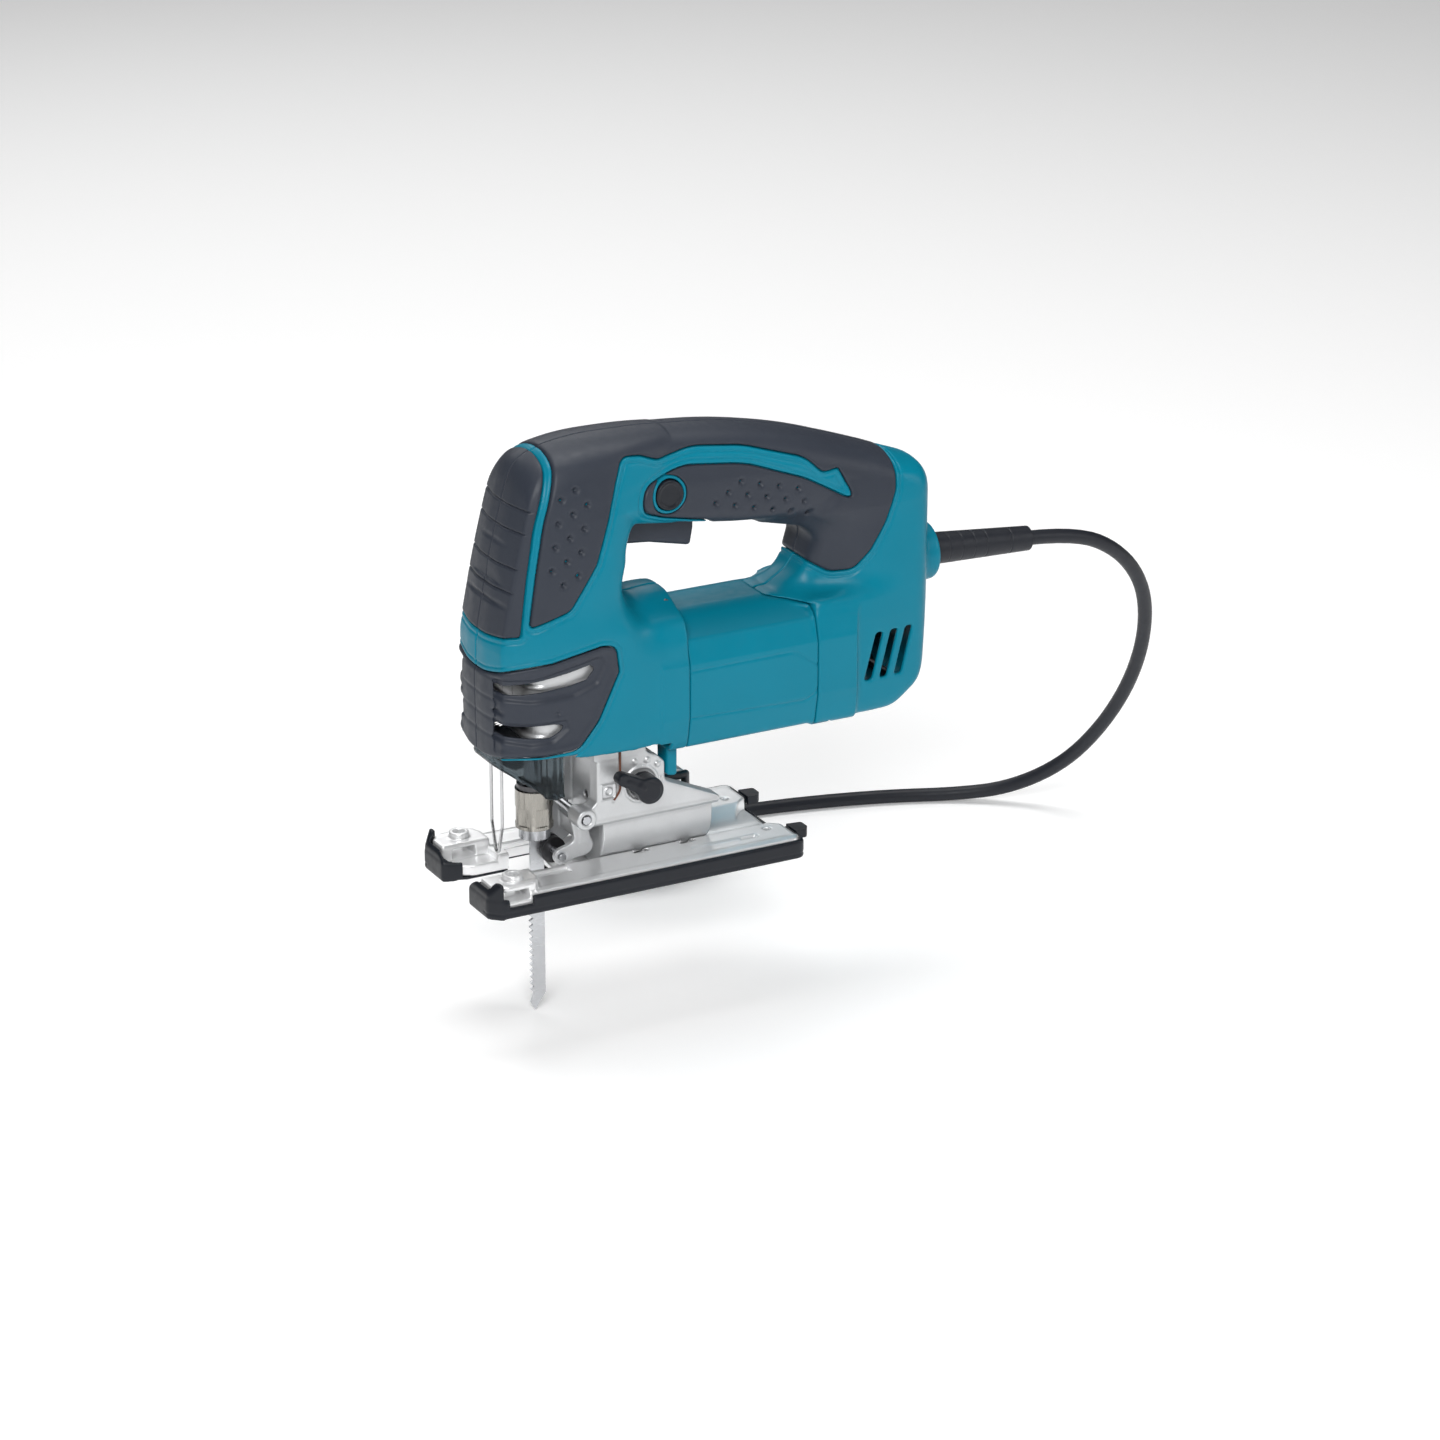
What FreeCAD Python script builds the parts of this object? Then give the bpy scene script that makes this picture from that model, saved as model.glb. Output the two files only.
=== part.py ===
"""D-handle jigsaw, one STEP file for each sub-part.

Millimetres. The origin is on the sole plane, under the axis of the blade plunger.
The saw cuts towards -X, the cord leaves towards +X, +Z is up and Y = 0 is the saw's mid-plane.
"Left" is the -Y side, as the user sees it from behind.
"""
import FreeCAD, Part
import math
import os

V = FreeCAD.Vector
PARTS = "parts"

# ---------------------------------------------------------------- driving dimensions

LENGTH = 236.0            # shoe front to the back of the housing
WALL = 2.5                # moulded casing
SKIN = 1.6                # soft overmoulding that is let into the casing
FIT = 0.05                # radial clearance of a running fit
CLEAR = 0.4               # clearance between moving castings

SHOE_FRONT = -40.3
SHOE_HALF = 39.0
SHOE_REAR = 120.5
RAIL_Z = 10.0             # top of the shoe's rails
PRONG_Z = 14.5            # top of the rip-fence bridges

TILT_Z = 22.6             # axis that the shoe tilts about
TROUGH_R = 19.0           # hollow in the shoe that the foot of the gear housing sits in
TILT_LIMIT = 45.0

HEAD_HALF = 33.0
REAR_HALF = 29.0
HANDLE_HALF = 21.5
SEAM_FRONT = 64.0         # gear head to motor barrel
SEAM_REAR = 139.0         # motor barrel to rear housing
REAR_FACE = SHOE_FRONT + LENGTH

MOTOR_Z = 92.0            # axis of the armature, along X
GEAR_MODULE = 0.9
PINION_TEETH = 8
GEAR_TEETH = 56
GEAR_FRONT = 17.0
GEAR_BACK = 25.0
MESH_SLACK = 0.1
GEAR_Z = MOTOR_Z + GEAR_MODULE * (PINION_TEETH + GEAR_TEETH) / 2 + MESH_SLACK
STROKE = 26.0
CRANK_R = STROKE / 2
CRANK_PIN_R = 3.5
YOKE_PLAY = 3.1           # the slot's extra height each way, see yoke()

ROD_R = 4.5
SLEEVE_R = 8.8
BLADE_HALF = 0.65
BLADE_BACK = 4.3
BLADE_FRONT = -3.6
BLADE_TIP = -66.4
FLOOR_Z = -67.0           # what the cord lies on: level with the blade's tip

ROLLER = (7.8, 13.0)      # x, z of the guide roller
ROLLER_R = 6.2
ROCKER = (15.4, 33.0)     # x, z of the pivot of its arm
LEVER = (43.5, 45.5)      # x, z of the orbital selector
BUTTON = (58.5, 181.5)    # x, z of the lock-on button
DIAL = (187.5, 150.0)     # x, z of the speed dial
TRIGGER_PIVOT = (44.0, 173.5)

KEY_X = (27.0, 77.5)      # hex key: ends of its long arm
KEY_Z = 36.0
KEY_R = 2.0
KEY_SHORT = 11.0

CORD_BOSS_END = 203.5
CORD_Z = 125.0            # height at which the cord enters the housing
GUARD_ROOT_R = 7.9
CORD_D = 7.0
GUARD_END = V(259.5, 0, 121.2)
# The cord's route from the end of its guard to the hank.
ROUTE = [
    V(259.5, 0, 121.2),
    V(287, 0, 119.35),
    V(314, 4, 105),
    V(335, 14, 81),
    V(347, 29, 50),
    V(352, 48, 17),
    V(350, 70, -15),
    V(341, 92, -42),
    V(322, 113, -59),
    V(298, 129, -63.5),
    V(269, 141.5, -63.5),
    V(237, 151, -63.5),
    V(204, 158, -63.5),
    V(167, 162, -63.5),
    V(129, 163.2, -63.5),
]
HANK_Y = 135.0            # middle of the folded cord
HANK_LEFT = 99.0          # centre of its left folds
HANK_RIGHT = 128.0       # centre of its right folds
FOLD_INNER = 21.0         # centreline radii of the folds
FOLD_OUTER = 28.2
HANK_LAYERS = 4


# ---------------------------------------------------------------- drawing helpers

def box(x0, x1, y0, y1, z0, z1):
    return Part.makeBox(x1 - x0, y1 - y0, z1 - z0, V(x0, y0, z0))


def rod_x(x0, x1, y, z, r):
    return Part.makeCylinder(r, x1 - x0, V(x0, y, z), V(1, 0, 0))


def rod_y(y0, y1, x, z, r):
    return Part.makeCylinder(r, y1 - y0, V(x, y0, z), V(0, 1, 0))


def rod_z(z0, z1, x, y, r):
    return Part.makeCylinder(r, z1 - z0, V(x, y, z0), V(0, 0, 1))


def ring_x(x0, x1, y, z, r_out, r_in):
    return rod_x(x0, x1, y, z, r_out).cut(rod_x(x0 - 1, x1 + 1, y, z, r_in))


def ring_z(z0, z1, x, y, r_out, r_in):
    return rod_z(z0, z1, x, y, r_out).cut(rod_z(z0 - 1, z1 + 1, x, y, r_in))


def inset(outline, depth):
    """An outline of (u, v, radius) corners, drawn anticlockwise, moved inwards by depth."""
    moved = []
    count = len(outline)
    for i, (u, v, r) in enumerate(outline):
        pu, pv, _ = outline[i - 1]
        nu, nv, _ = outline[(i + 1) % count]
        a = V(u - pu, v - pv, 0).normalize()
        b = V(nu - u, nv - v, 0).normalize()
        left_a = V(-a.y, a.x, 0)
        left_b = V(-b.y, b.x, 0)
        middle = left_a + left_b
        step = middle * (2 * depth / max(middle.dot(middle), 0.2))
        convex = a.cross(b).z > 0
        radius = max(r - depth, 0) if convex else (r + depth if r else 0)
        moved.append((u + step.x, v + step.y, radius))
    return moved


def outline_edges(outline, place):
    """Straight and round edges for (u, v, radius) corners; place turns (u, v) into a point."""
    count = len(outline)
    corners = []
    for i, (u, v, r) in enumerate(outline):
        here = V(u, v, 0)
        back = V(*outline[i - 1][:2], 0) - here
        on = V(*outline[(i + 1) % count][:2], 0) - here
        half = back.getAngle(on) / 2
        if r <= 0 or half > math.radians(89.5):
            corners.append((here, None, here))
            continue
        cut = min(r / math.tan(half), 0.48 * back.Length, 0.48 * on.Length)
        r = cut * math.tan(half)
        back.normalize()
        on.normalize()
        bisector = (back + on).normalize()
        middle = here + bisector * (r / math.sin(half) - r)
        corners.append((here + back * cut, middle, here + on * cut))
    edges = []
    for i, (start, middle, end) in enumerate(corners):
        if middle is not None:
            arc = Part.Arc(place(start), place(middle), place(end))
            edges.append(arc.toShape())
        following = corners[(i + 1) % count][0]
        if (following - end).Length > 1e-4:
            edges.append(Part.LineSegment(place(end), place(following)).toShape())
    return edges


def prism(outline, place, along):
    face = Part.Face(Part.Wire(Part.__sortEdges__(outline_edges(outline, place))))
    return face.extrude(along)


def side_prism(outline, y0, y1):
    """A side-view outline of (x, z, radius) corners, as thick as y0 to y1."""
    return prism(outline, lambda p: V(p.x, y0, p.y), V(0, y1 - y0, 0))


def plan_prism(outline, z0, z1, lean=0.0):
    """A plan outline of (x, y, radius) corners, from z0 to z1, leaning back by lean."""
    return prism(outline, lambda p: V(p.x, p.y, z0), V(lean, 0, z1 - z0))


def front_prism(outline, x0, x1):
    """An outline of (y, z, radius) corners seen along X, from x0 to x1."""
    return prism(outline, lambda p: V(x0, p.x, p.y), V(x1 - x0, 0, 0))


def mirrored(half):
    """A closed outline from the corners on its +Y side, which run anticlockwise."""
    return half + [(u, -v, r) for u, v, r in reversed(half)]


def joined(shapes):
    whole = shapes[0]
    for shape in shapes[1:]:
        whole = whole.fuse(shape)
    return whole.removeSplitter()


def less(shape, tools):
    for tool in tools:
        shape = shape.cut(tool)
    return shape


def both_sides(shape):
    other = shape.mirror(V(0, 0, 0), V(0, 1, 0))
    return [shape, other]


def capsule_y(y0, y1, start, end, radius):
    """A flat link between two (x, z) centres."""
    along = V(end[0] - start[0], 0, end[1] - start[1])
    side = V(-along.z, 0, along.x).normalize() * radius
    a = V(start[0], y0, start[1])
    b = V(end[0], y0, end[1])
    wire = Part.makePolygon([a + side, b + side, b - side, a - side, a + side])
    middle = Part.Face(wire).extrude(V(0, y1 - y0, 0))
    ends = [rod_y(y0, y1, *start, radius), rod_y(y0, y1, *end, radius)]
    return joined([middle] + ends)


def save(name, shape):
    solids = shape.Solids
    solid = solids[0] if len(solids) == 1 else Part.makeCompound(solids)
    solid.exportStep(os.path.join(PARTS, name + ".step"))


# ---------------------------------------------------------------- casing envelope

# Side-view corners (x, z, radius), anticlockwise.
HEAD_SIDE = [
    (-29.5, 66, 3), (66, 66, 0), (66, 124, 0), (45, 131, 8), (36.5, 152, 12),
    (36.5, 206.8, 0), (13, 206.3, 34), (-11, 198, 20), (-23, 164, 90), (-29.5, 122, 90),
    (-30.5, 98, 60),
]
HANDLE_SIDE = [
    (30, 158, 0), (42, 168.5, 8), (84, 162.5, 60), (137, 150.5, 8), (150, 146, 0),
    (176, 178.0, 0), (136, 190, 160), (92, 202, 200), (50, 207.2, 150), (30, 207.2, 0),
]
REAR_SIDE = [
    (139, 60.6, 0), (171, 60.6, 20), (189, 73, 22), (194.5, 110, 80), (195.7, 157, 18),
    (180, 177.5, 14), (150, 187, 0), (138, 162, 0), (137.5, 149, 6), (132, 134, 14),
    (120, 125, 0), (130, 120.5, 10), (139, 112, 0),
]
# Plan corners (x, y, radius) of the +Y half.
NOSE_PLAN = [(66, HEAD_HALF, 0), (12, HEAD_HALF, 40), (-10, 29.5, 30), (-26.3, 22.0, 5), (-30.2, 8, 22)]
REAR_PLAN = [(196.5, 12, 20), (185.5, 25.5, 13), (160, REAR_HALF, 40), (110, REAR_HALF, 0)]
# The handle's rear leg is slimmer than the housing that it stands on.
LEG_PLAN = [(165, 27, 0), (150, 21, 20), (136, 14.5, 14), (110, 11, 0)]
LEG_X = (110, 163)
LEG_Z = 121.0
# Corners (y, z, radius) seen along X.
HEAD_FRONT = [
    (-33, 60, 0), (33, 60, 0), (33, 150, 40), (26.5, 186, 30), (19, 207.3, 15),
    (-19, 207.3, 15), (-26.5, 186, 30), (-33, 150, 40),
]
NOSE_LEAN_Z = 120.0
NOSE_LEAN = 0.225
BARREL_R = 31.3
BOTTOM_Z = 60.6
CROWN_Z = 136.0           # above this the head ends at the grip's opening
CROWN_X = 37.0


def head(depth):
    top = 214.0
    plan = inset(mirrored(NOSE_PLAN), depth)
    lower = plan_prism(plan, 60, NOSE_LEAN_Z)
    upper = plan_prism(plan, NOSE_LEAN_Z, top, NOSE_LEAN * (top - NOSE_LEAN_Z))
    side = side_prism(inset(HEAD_SIDE, depth), -40, 40)
    front = front_prism(inset(HEAD_FRONT, depth), -40, 70)
    back = [(CROWN_X, -HEAD_HALF - 1, 13), (CROWN_X, HEAD_HALF + 1, 13), (-60, HEAD_HALF + 1, 0), (-60, -HEAD_HALF - 1, 0)]
    behind = box(10, 80, -50, 50, CROWN_Z - depth, top).cut(plan_prism(inset(back, depth), 100, top))
    return lower.fuse(upper).common(side).common(front).cut(behind)


def handle(depth):
    side = side_prism(inset(HANDLE_SIDE, depth), -HANDLE_HALF + depth, HANDLE_HALF - depth)
    bar = [
        (-12, 138, 0), (12, 138, 0), (HANDLE_HALF, 167, 25), (HANDLE_HALF, 184, 20),
        (16, 209, 16), (-16, 209, 16), (-HANDLE_HALF, 184, 20), (-HANDLE_HALF, 167, 25),
    ]
    return side.common(front_prism(inset(bar, depth), 20, 190)).cut(beside_leg(depth, 158.0))


def beside_leg(depth, top):
    """What is cut away on both sides of the handle's slim rear leg, up to top."""
    slim = plan_prism(inset(mirrored(LEG_PLAN), depth), 100, 210)
    return box(LEG_X[0], LEG_X[1], -50, 50, LEG_Z - depth, top).cut(slim)


def rear(depth):
    side = side_prism(inset(REAR_SIDE, depth), -40, 40)
    plan = mirrored(REAR_PLAN)
    waist = [
        (-REAR_HALF, 55, 0), (REAR_HALF, 55, 0), (REAR_HALF, 112, 30), (25, 140, 40),
        (21.5, 170, 10), (14, 188, 8), (-14, 188, 8), (-21.5, 170, 10), (-25, 140, 40),
        (-REAR_HALF, 112, 30),
    ]
    body = side.common(plan_prism(inset(plan, depth), 50, 200))
    return body.common(front_prism(inset(waist, depth), 110, 200)).cut(beside_leg(depth, 158.0))


def barrel(depth, x0=SEAM_FRONT, x1=SEAM_REAR):
    top = MOTOR_Z + BARREL_R
    section = [
        (-BARREL_R, BOTTOM_Z, 10), (BARREL_R, BOTTOM_Z, 10),
        (BARREL_R, top, BARREL_R), (-BARREL_R, top, BARREL_R),
    ]
    return front_prism(inset(section, depth), x0, x1)


def envelope(depth):
    """The outside of the whole casing, moved inwards by depth."""
    return joined([head(depth), handle(depth), barrel(depth, SEAM_FRONT - depth, SEAM_REAR + depth), rear(depth)])


# ---------------------------------------------------------------- overmoulding regions

NOSE_REGION = [
    (-45, 126.5, 0), (-17.5, 125.5, 2), (-13.5, 155, 60), (-9.8, 178, 60), (-5.6, 197, 60),
    (-4.5, 220, 0), (-45, 220, 0),
]
GRIP_REGION = [
    (-13.8, 131.5, 2), (5.6, 137.5, 8), (19, 157.5, 10), (25, 175, 60), (30.5, 192, 30),
    (35, 202.5, 6), (45, 201.5, 10), (54, 198, 8), (72, 201.5, 40), (98, 199, 60),
    (128, 189, 20), (137, 179.5, 5), (145, 181, 2), (154, 163.5, 3), (128, 178.5, 60),
    (98, 190, 60), (66, 194, 30), (45.5, 187, 10), (44, 175.5, 8), (56, 171, 10),
    (84, 164.5, 10), (84, 158, 0), (139, 146, 0), (134.5, 139, 6), (142, 131.5, 8),
    (158, 135.5, 8), (167, 150, 40), (173.5, 172, 10), (167, 186, 0), (120, 205, 0),
    (60, 220, 0), (-1, 220, 0), (-1.5, 197, 60), (-6.0, 178, 60), (-10.0, 155, 60),
]
VENT_REGION = [
    (-45, 76.5, 0), (-8, 71, 14), (8, 71.5, 8), (18, 82, 20), (28.5, 103, 3),
    (28.5, 116, 6), (20, 119, 6), (-4, 115.5, 10), (-45, 115, 0),
]
VENT_WINDOWS = [
    [(-20, 101.5, 2), (-2, 100.5, 8), (16, 97.5, 2), (17.5, 107, 3), (2, 109, 10), (-20, 109, 2)],
    [(-21, 78.5, 2), (-6, 77.5, 8), (7, 79, 2), (11.5, 86, 2), (-2, 88.5, 10), (-21, 89.5, 2)],
]
BUTTON_HOLE_R = 7.15
SCREW_PLACES = [(8.0, 193.5), (-21.0, 128.0), (118.0, 178.0), (186.0, 166.0), (178.0, 72.0), (60.0, 128.0)]


# ---------------------------------------------------------------- the casing

def casing_parts():
    outer = envelope(0)
    under_skin = envelope(SKIN)
    inner = envelope(WALL)
    passage = rod_x(SEAM_FRONT - 12, SEAM_REAR + 10, 0, MOTOR_Z, 28.5)
    inner = inner.fuse(passage)
    skin = outer.cut(under_skin)

    wide = 45
    nose = skin.common(side_prism(NOSE_REGION, -wide, wide))
    grip = skin.common(side_prism(GRIP_REGION, -wide, wide))
    vent_zone = side_prism(VENT_REGION, -wide, wide)
    vent_bed = outer.cut(inner).common(vent_zone)
    button_hole = rod_y(-wide, 0, *BUTTON, BUTTON_HOLE_R)
    grip = grip.cut(rod_y(-wide, 0, *BUTTON, BUTTON_HOLE_R + 1.3))

    shell = outer.cut(inner)
    for x, z in SCREW_PLACES:
        boss = rod_y(-wide, wide, x, z, 4.2)
        shell = shell.fuse(boss.common(outer))
    bulkhead = box(149.5, 156.5, -wide, wide, 55, 130)
    bulkhead = bulkhead.common(envelope(1)).cut(rod_x(140, 160, 0, MOTOR_Z, 12.0))
    shell = shell.fuse(bulkhead)
    cord_boss = rod_x(188, CORD_BOSS_END, 0, CORD_Z, 11.5)
    shell = shell.fuse(cord_boss.cut(rear(WALL)))
    lip = both_sides(side_prism([(81.5, 160, 1), (85, 158, 1.5), (89, 159.5, 1.5), (89, 164, 0), (81.5, 166, 0)], 0, 8))
    shell = joined([shell] + lip)
    tab = side_prism([(56.5, 70, 0), (56.5, 47, 1), (62.0, 46, 1), (62.0, 70, 0)], -22.5, -12)
    shell = joined([shell] + both_sides(tab))

    vents = []
    for i in range(3):
        x = 155.5 + 8.2 * i
        slot = [(x, 77.5, 1.8), (x + 4.2, 77.5, 1.8), (x + 10.5, 100, 1.8), (x + 6.3, 100, 1.8)]
        vents.append(side_prism(slot, -wide, wide))
    cuts = [nose, grip, vent_bed, button_hole] + vents
    cuts.append(box(-26.5, 55.5, -28.9, 28.9, 55, 69))
    cuts.append(box(55, 60, -26, 26, 55, 69).cut(side_prism([(56.5, 70, 0), (56.5, 40, 0), (64, 40, 0), (64, 70, 0)], -30, 30)))
    cuts.append(box(39, 81.2, -7.6, 7.6, 150, 175.5))
    cuts.append(rod_x(180, 210, 0, CORD_Z, GUARD_ROOT_R + 0.1))
    cuts.append(rod_y(-5.2, 5.2, *DIAL, 11.6))
    for x, z in SCREW_PLACES:
        cuts.append(rod_y(-16, wide, x, z, 1.75))
        cuts.append(rod_y(8, wide, x, z, 3.7))
    shell = less(shell, cuts)

    middle = box(SEAM_FRONT, SEAM_REAR, -wide, wide, 45, 140).cut(side_prism(REAR_SIDE, -wide, wide))
    middle = middle.cut(side_prism(HANDLE_SIDE, -wide, wide))
    motor_housing = shell.common(middle)
    rest = shell.cut(middle)
    left_half = box(-60, 300, -60, 0, 20, 230)
    right_half = box(-60, 300, 0, 60, 20, 230)

    cover = outer.cut(envelope(SKIN + 1.2)).common(vent_zone)
    windows = []
    for outline in VENT_WINDOWS:
        windows.append(side_prism(outline, -wide, -16))
        windows.append(side_prism(outline, 16, wide))
    cover = less(cover, windows)

    save("housing_left", biggest(rest.common(left_half)))
    save("housing_right", biggest(rest.common(right_half)))
    save("motor_housing", biggest(motor_housing))
    save("nose_pad_left", biggest(nose.common(left_half)))
    save("nose_pad_right", biggest(nose.common(right_half)))
    save("grip_left", biggest(grip.common(left_half)))
    save("grip_right", biggest(grip.common(right_half)))
    save("front_vent_cover", biggest(cover))


def biggest(shape):
    return max(shape.Solids, key=lambda solid: solid.Volume)


def casing_screws():
    screws = []
    for x, z in SCREW_PLACES:
        head_part = rod_y(8, 10.6, x, z, 3.4).cut(rod_y(9.4, 11, x, z, 1.5))
        screws.append(head_part.fuse(rod_y(-15.5, 8, x, z, 1.7)))
    save("casing_screws", Part.makeCompound(screws))


# ---------------------------------------------------------------- gear housing and foot

BRACKET_SIDE = [
    (12.6, 37.7, 3), (11.0, 32.5, 3), (15.5, 28.2, 3), (84, 28.2, 1), (84, 32.0, 1.5),
    (56.0, 44.6, 3), (56.0, 54.0, 3), (52, 58, 3), (46, 61, 4), (46, 75, 0),
    (21.4, 75, 0), (21.4, 40.4, 3), (17.6, 36.9, 3),
]


CASE_BOTTOM = 74.2         # the clamp rises to just below it


def gear_housing():
    plan = [(-13.5, -28.5, 12), (41, -28.5, 5), (41, 28.5, 5), (-13.5, 28.5, 12)]
    case = plan_prism(plan, CASE_BOTTOM, 157)
    cavity = plan_prism(inset(plan, 2.6), CASE_BOTTOM + 2.6, 154.4)
    case = case.cut(cavity.cut(box(29, 45, -40, 40, 60, 160)))
    case = case.cut(cavity.common(box(41 - 2.6, 45, -40, 40, 60, 160)))
    guides = [rod_z(CASE_BOTTOM + 1, 87, 0, 0, 8.6), rod_z(145.5, 156, 0, 0, 8.6)]
    guides.append(box(-12, 0, -3, 3, CASE_BOTTOM + 1, 87))
    guides.append(box(-12, 0, -3, 3, 145.5, 156))
    case = joined([case] + guides).common(envelope(WALL + 0.7))

    flare = [
        (-22, 80, 0), (-22, 29.5, 1), (-18.5, 24.6, 0), (-18.5, 0, 0), (18.5, 0, 0),
        (18.5, 24.6, 0), (22, 29.5, 1), (22, 80, 0),
    ]
    bracket = side_prism(BRACKET_SIDE, -22, 22)
    foot = rod_x(26, 82, 0, TILT_Z, TROUGH_R - CLEAR).common(box(20, 90, -30, 30, 0, 29.5))
    bracket = joined([bracket, foot, box(20, 46, -22, 22, 60, CASE_BOTTOM + 2.6)])
    bracket = bracket.common(front_prism(flare, 0, 100))
    pockets = [
        box(0, 26, -13.4, 13.4, 0, 69.5),
        box(28.5, 53.5, -17.5, 17.5, 32, 70.5),
        box(60, 90, -13, 13, 24, 60),
    ]
    bracket = less(bracket, pockets)
    whole = case.fuse(bracket)

    bores = [
        rod_z(60, 160, 0, 0, 6.5),
        rod_x(29, 45, 0, MOTOR_Z, 5.5),
        rod_x(34, 45, 0, MOTOR_Z, 11.0),
        rod_x(28, 40, 0, GEAR_Z, 4.0),
        rod_y(-30, 30, *ROCKER, 2.0),
        rod_y(-30, -14, *LEVER, 4.0 + FIT),
        rod_x(KEY_X[0], KEY_X[1], 0, KEY_Z, KEY_R + FIT),
    ]
    for x in BASE_BOLTS:
        bores.append(rod_z(0, 31, x, 0, 2.0))
    save("gear_housing", whole_of(less(whole, bores)))
    bushes = [ring_z(74.6, 87, 0, 0, 6.5, ROD_R + FIT), ring_z(145.5, 157, 0, 0, 6.5, ROD_R + FIT)]
    save("plunger_bushes", Part.makeCompound(bushes))


def whole_of(shape):
    return biggest(shape.removeSplitter())


BASE_BOLTS = (46.0, 70.0)
BOLT_HEAD_OUT = 22.5
BOLT_HEAD_IN = 20.5


def base_bolts():
    bolts = []
    for x in BASE_BOLTS:
        shank = rod_z(TILT_Z - BOLT_HEAD_IN - 0.5, 31, x, 0, 2.0)
        cap = ring_x(x - 5, x + 5, 0, TILT_Z, BOLT_HEAD_OUT, BOLT_HEAD_IN)
        cap = cap.common(rod_z(-2, TILT_Z, x, 0, 3.4))
        socket = rod_z(-2, 1.2, x, 0, 1.5)
        bolts.append(shank.fuse(cap).cut(socket))
    save("base_bolts", Part.makeCompound(bolts))


# ---------------------------------------------------------------- crank, yoke, plunger

def gear_wheel(teeth, module, x0, x1, z, phase):
    """A spur wheel with straight-sided stub teeth, one straight up at phase 0."""
    pitch = module * teeth / 2
    root = pitch - 0.85 * module
    tip = pitch + 0.62 * module
    step = 2 * math.pi / teeth
    points = []
    for i in range(teeth):
        middle = phase + i * step
        for radius, share in ((root, -0.30), (tip, -0.13), (tip, 0.13), (root, 0.30)):
            angle = middle + share * step
            points.append(V(x0, radius * math.sin(angle), z + radius * math.cos(angle)))
    points.append(points[0])
    return Part.Face(Part.makePolygon(points)).extrude(V(x1 - x0, 0, 0))


def drive_gear():
    # A gap faces straight down, where the pinion's tooth stands straight up.
    wheel = gear_wheel(GEAR_TEETH, GEAR_MODULE, GEAR_FRONT, GEAR_BACK, GEAR_Z, math.pi / GEAR_TEETH)
    dish = ring_x(GEAR_BACK - 2.5, GEAR_BACK + 1, 0, GEAR_Z, 21, 9)
    holes = []
    for i in range(5):
        angle = math.radians(60 + 60 * i)
        y = 13.5 * math.sin(angle + math.pi)
        z = GEAR_Z + 13.5 * math.cos(angle + math.pi)
        holes.append(rod_x(0, 40, y, z, 3.2))
    wheel = less(wheel, [dish, rod_x(0, 60, 0, GEAR_Z, 5.5)] + holes)
    pin = rod_x(5.2, GEAR_BACK - 3, 0, GEAR_Z - CRANK_R, CRANK_PIN_R)
    save("drive_gear", wheel.fuse(pin))
    save("gear_bush", ring_x(GEAR_FRONT, GEAR_BACK, 0, GEAR_Z, 5.5, 4.0 + FIT))
    save("gear_shaft", rod_x(GEAR_FRONT + 0.3, 40, 0, GEAR_Z, 4.0))


def yoke():
    """The crosshead. A crank moves it as a cosine and the modelled coupling is even, so its
    slot is YOKE_PLAY taller each way than the pin needs."""
    low = GEAR_Z - CRANK_R
    slot_half = CRANK_PIN_R + YOKE_PLAY
    plate = side_free_plate(low, slot_half)
    save("yoke", plate)


def side_free_plate(middle, slot_half):
    height = slot_half + 3.2
    outline = [
        (-20.5, middle - height, 4), (20.5, middle - height, 4),
        (20.5, middle + height, 4), (-20.5, middle + height, 4),
    ]
    slot = [
        (-17.2, middle - slot_half, 3), (17.2, middle - slot_half, 3),
        (17.2, middle + slot_half, 3), (-17.2, middle + slot_half, 3),
    ]
    plate = front_prism(outline, 4.7, 10).cut(front_prism(slot, 0, 20))
    hub = rod_z(middle - height, middle + height, 0, 0, 7.2).cut(box(4.7, 20, -20, 20, 0, 200))
    return joined([plate, hub]).cut(rod_z(0, 200, 0, 0, ROD_R))


def plunger():
    rod = rod_z(38, 156, 0, 0, ROD_R).cut(rod_z(37, 44.3, 0, 0, 3.6))
    save("plunger_rod", rod)
    holder = rod_z(21, 44, 0, 0, 6.6).cut(rod_z(38, 50, 0, 0, ROD_R))
    nose = rod_z(20.5, 25.5, 0, 0, 7.2)
    holder = joined([holder, nose])
    slot = box(-4.2, 4.6, -0.8, 0.8, 15, 37)
    save("blade_holder", holder.cut(slot))
    sleeve = ring_z(25.8, 44.5, 0, 0, SLEEVE_R, 6.6 + FIT)
    flats = []
    for i in range(6):
        flat = box(8.2, 12, -10, 10, 27.5, 36)
        flat.rotate(V(0, 0, 0), V(0, 0, 1), 60 * i + 30)
        flats.append(flat)
    sleeve = less(sleeve, flats)
    save("clamp_sleeve", sleeve)
    save("clamp_cap", ring_z(44.6, 47.2, 0, 0, 8.0, ROD_R))


def blade():
    teeth = 18
    top, bottom = -2.0, -58.0
    pitch = (top - bottom) / teeth
    points = [(BLADE_BACK, 20), (BLADE_BACK, -58.3), (-1.1, BLADE_TIP), (-3.2, -62.5)]
    for i in range(teeth):
        z = bottom + i * pitch
        points.append((BLADE_FRONT + 1.9, z + 0.3))
        points.append((BLADE_FRONT, z + 0.75 * pitch))
    points += [(BLADE_FRONT + 1.2, top + 1), (BLADE_FRONT + 1.0, 17.5), (-3.4, 20), (-3.4, 24), (-2.9, 36)]
    points += [(2.9, 36), (3.6, 24), (3.6, 20)]
    outline = [(x, z, 0) for x, z in points]
    save("blade", side_prism(outline, -BLADE_HALF, BLADE_HALF))


# ---------------------------------------------------------------- motor

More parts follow.
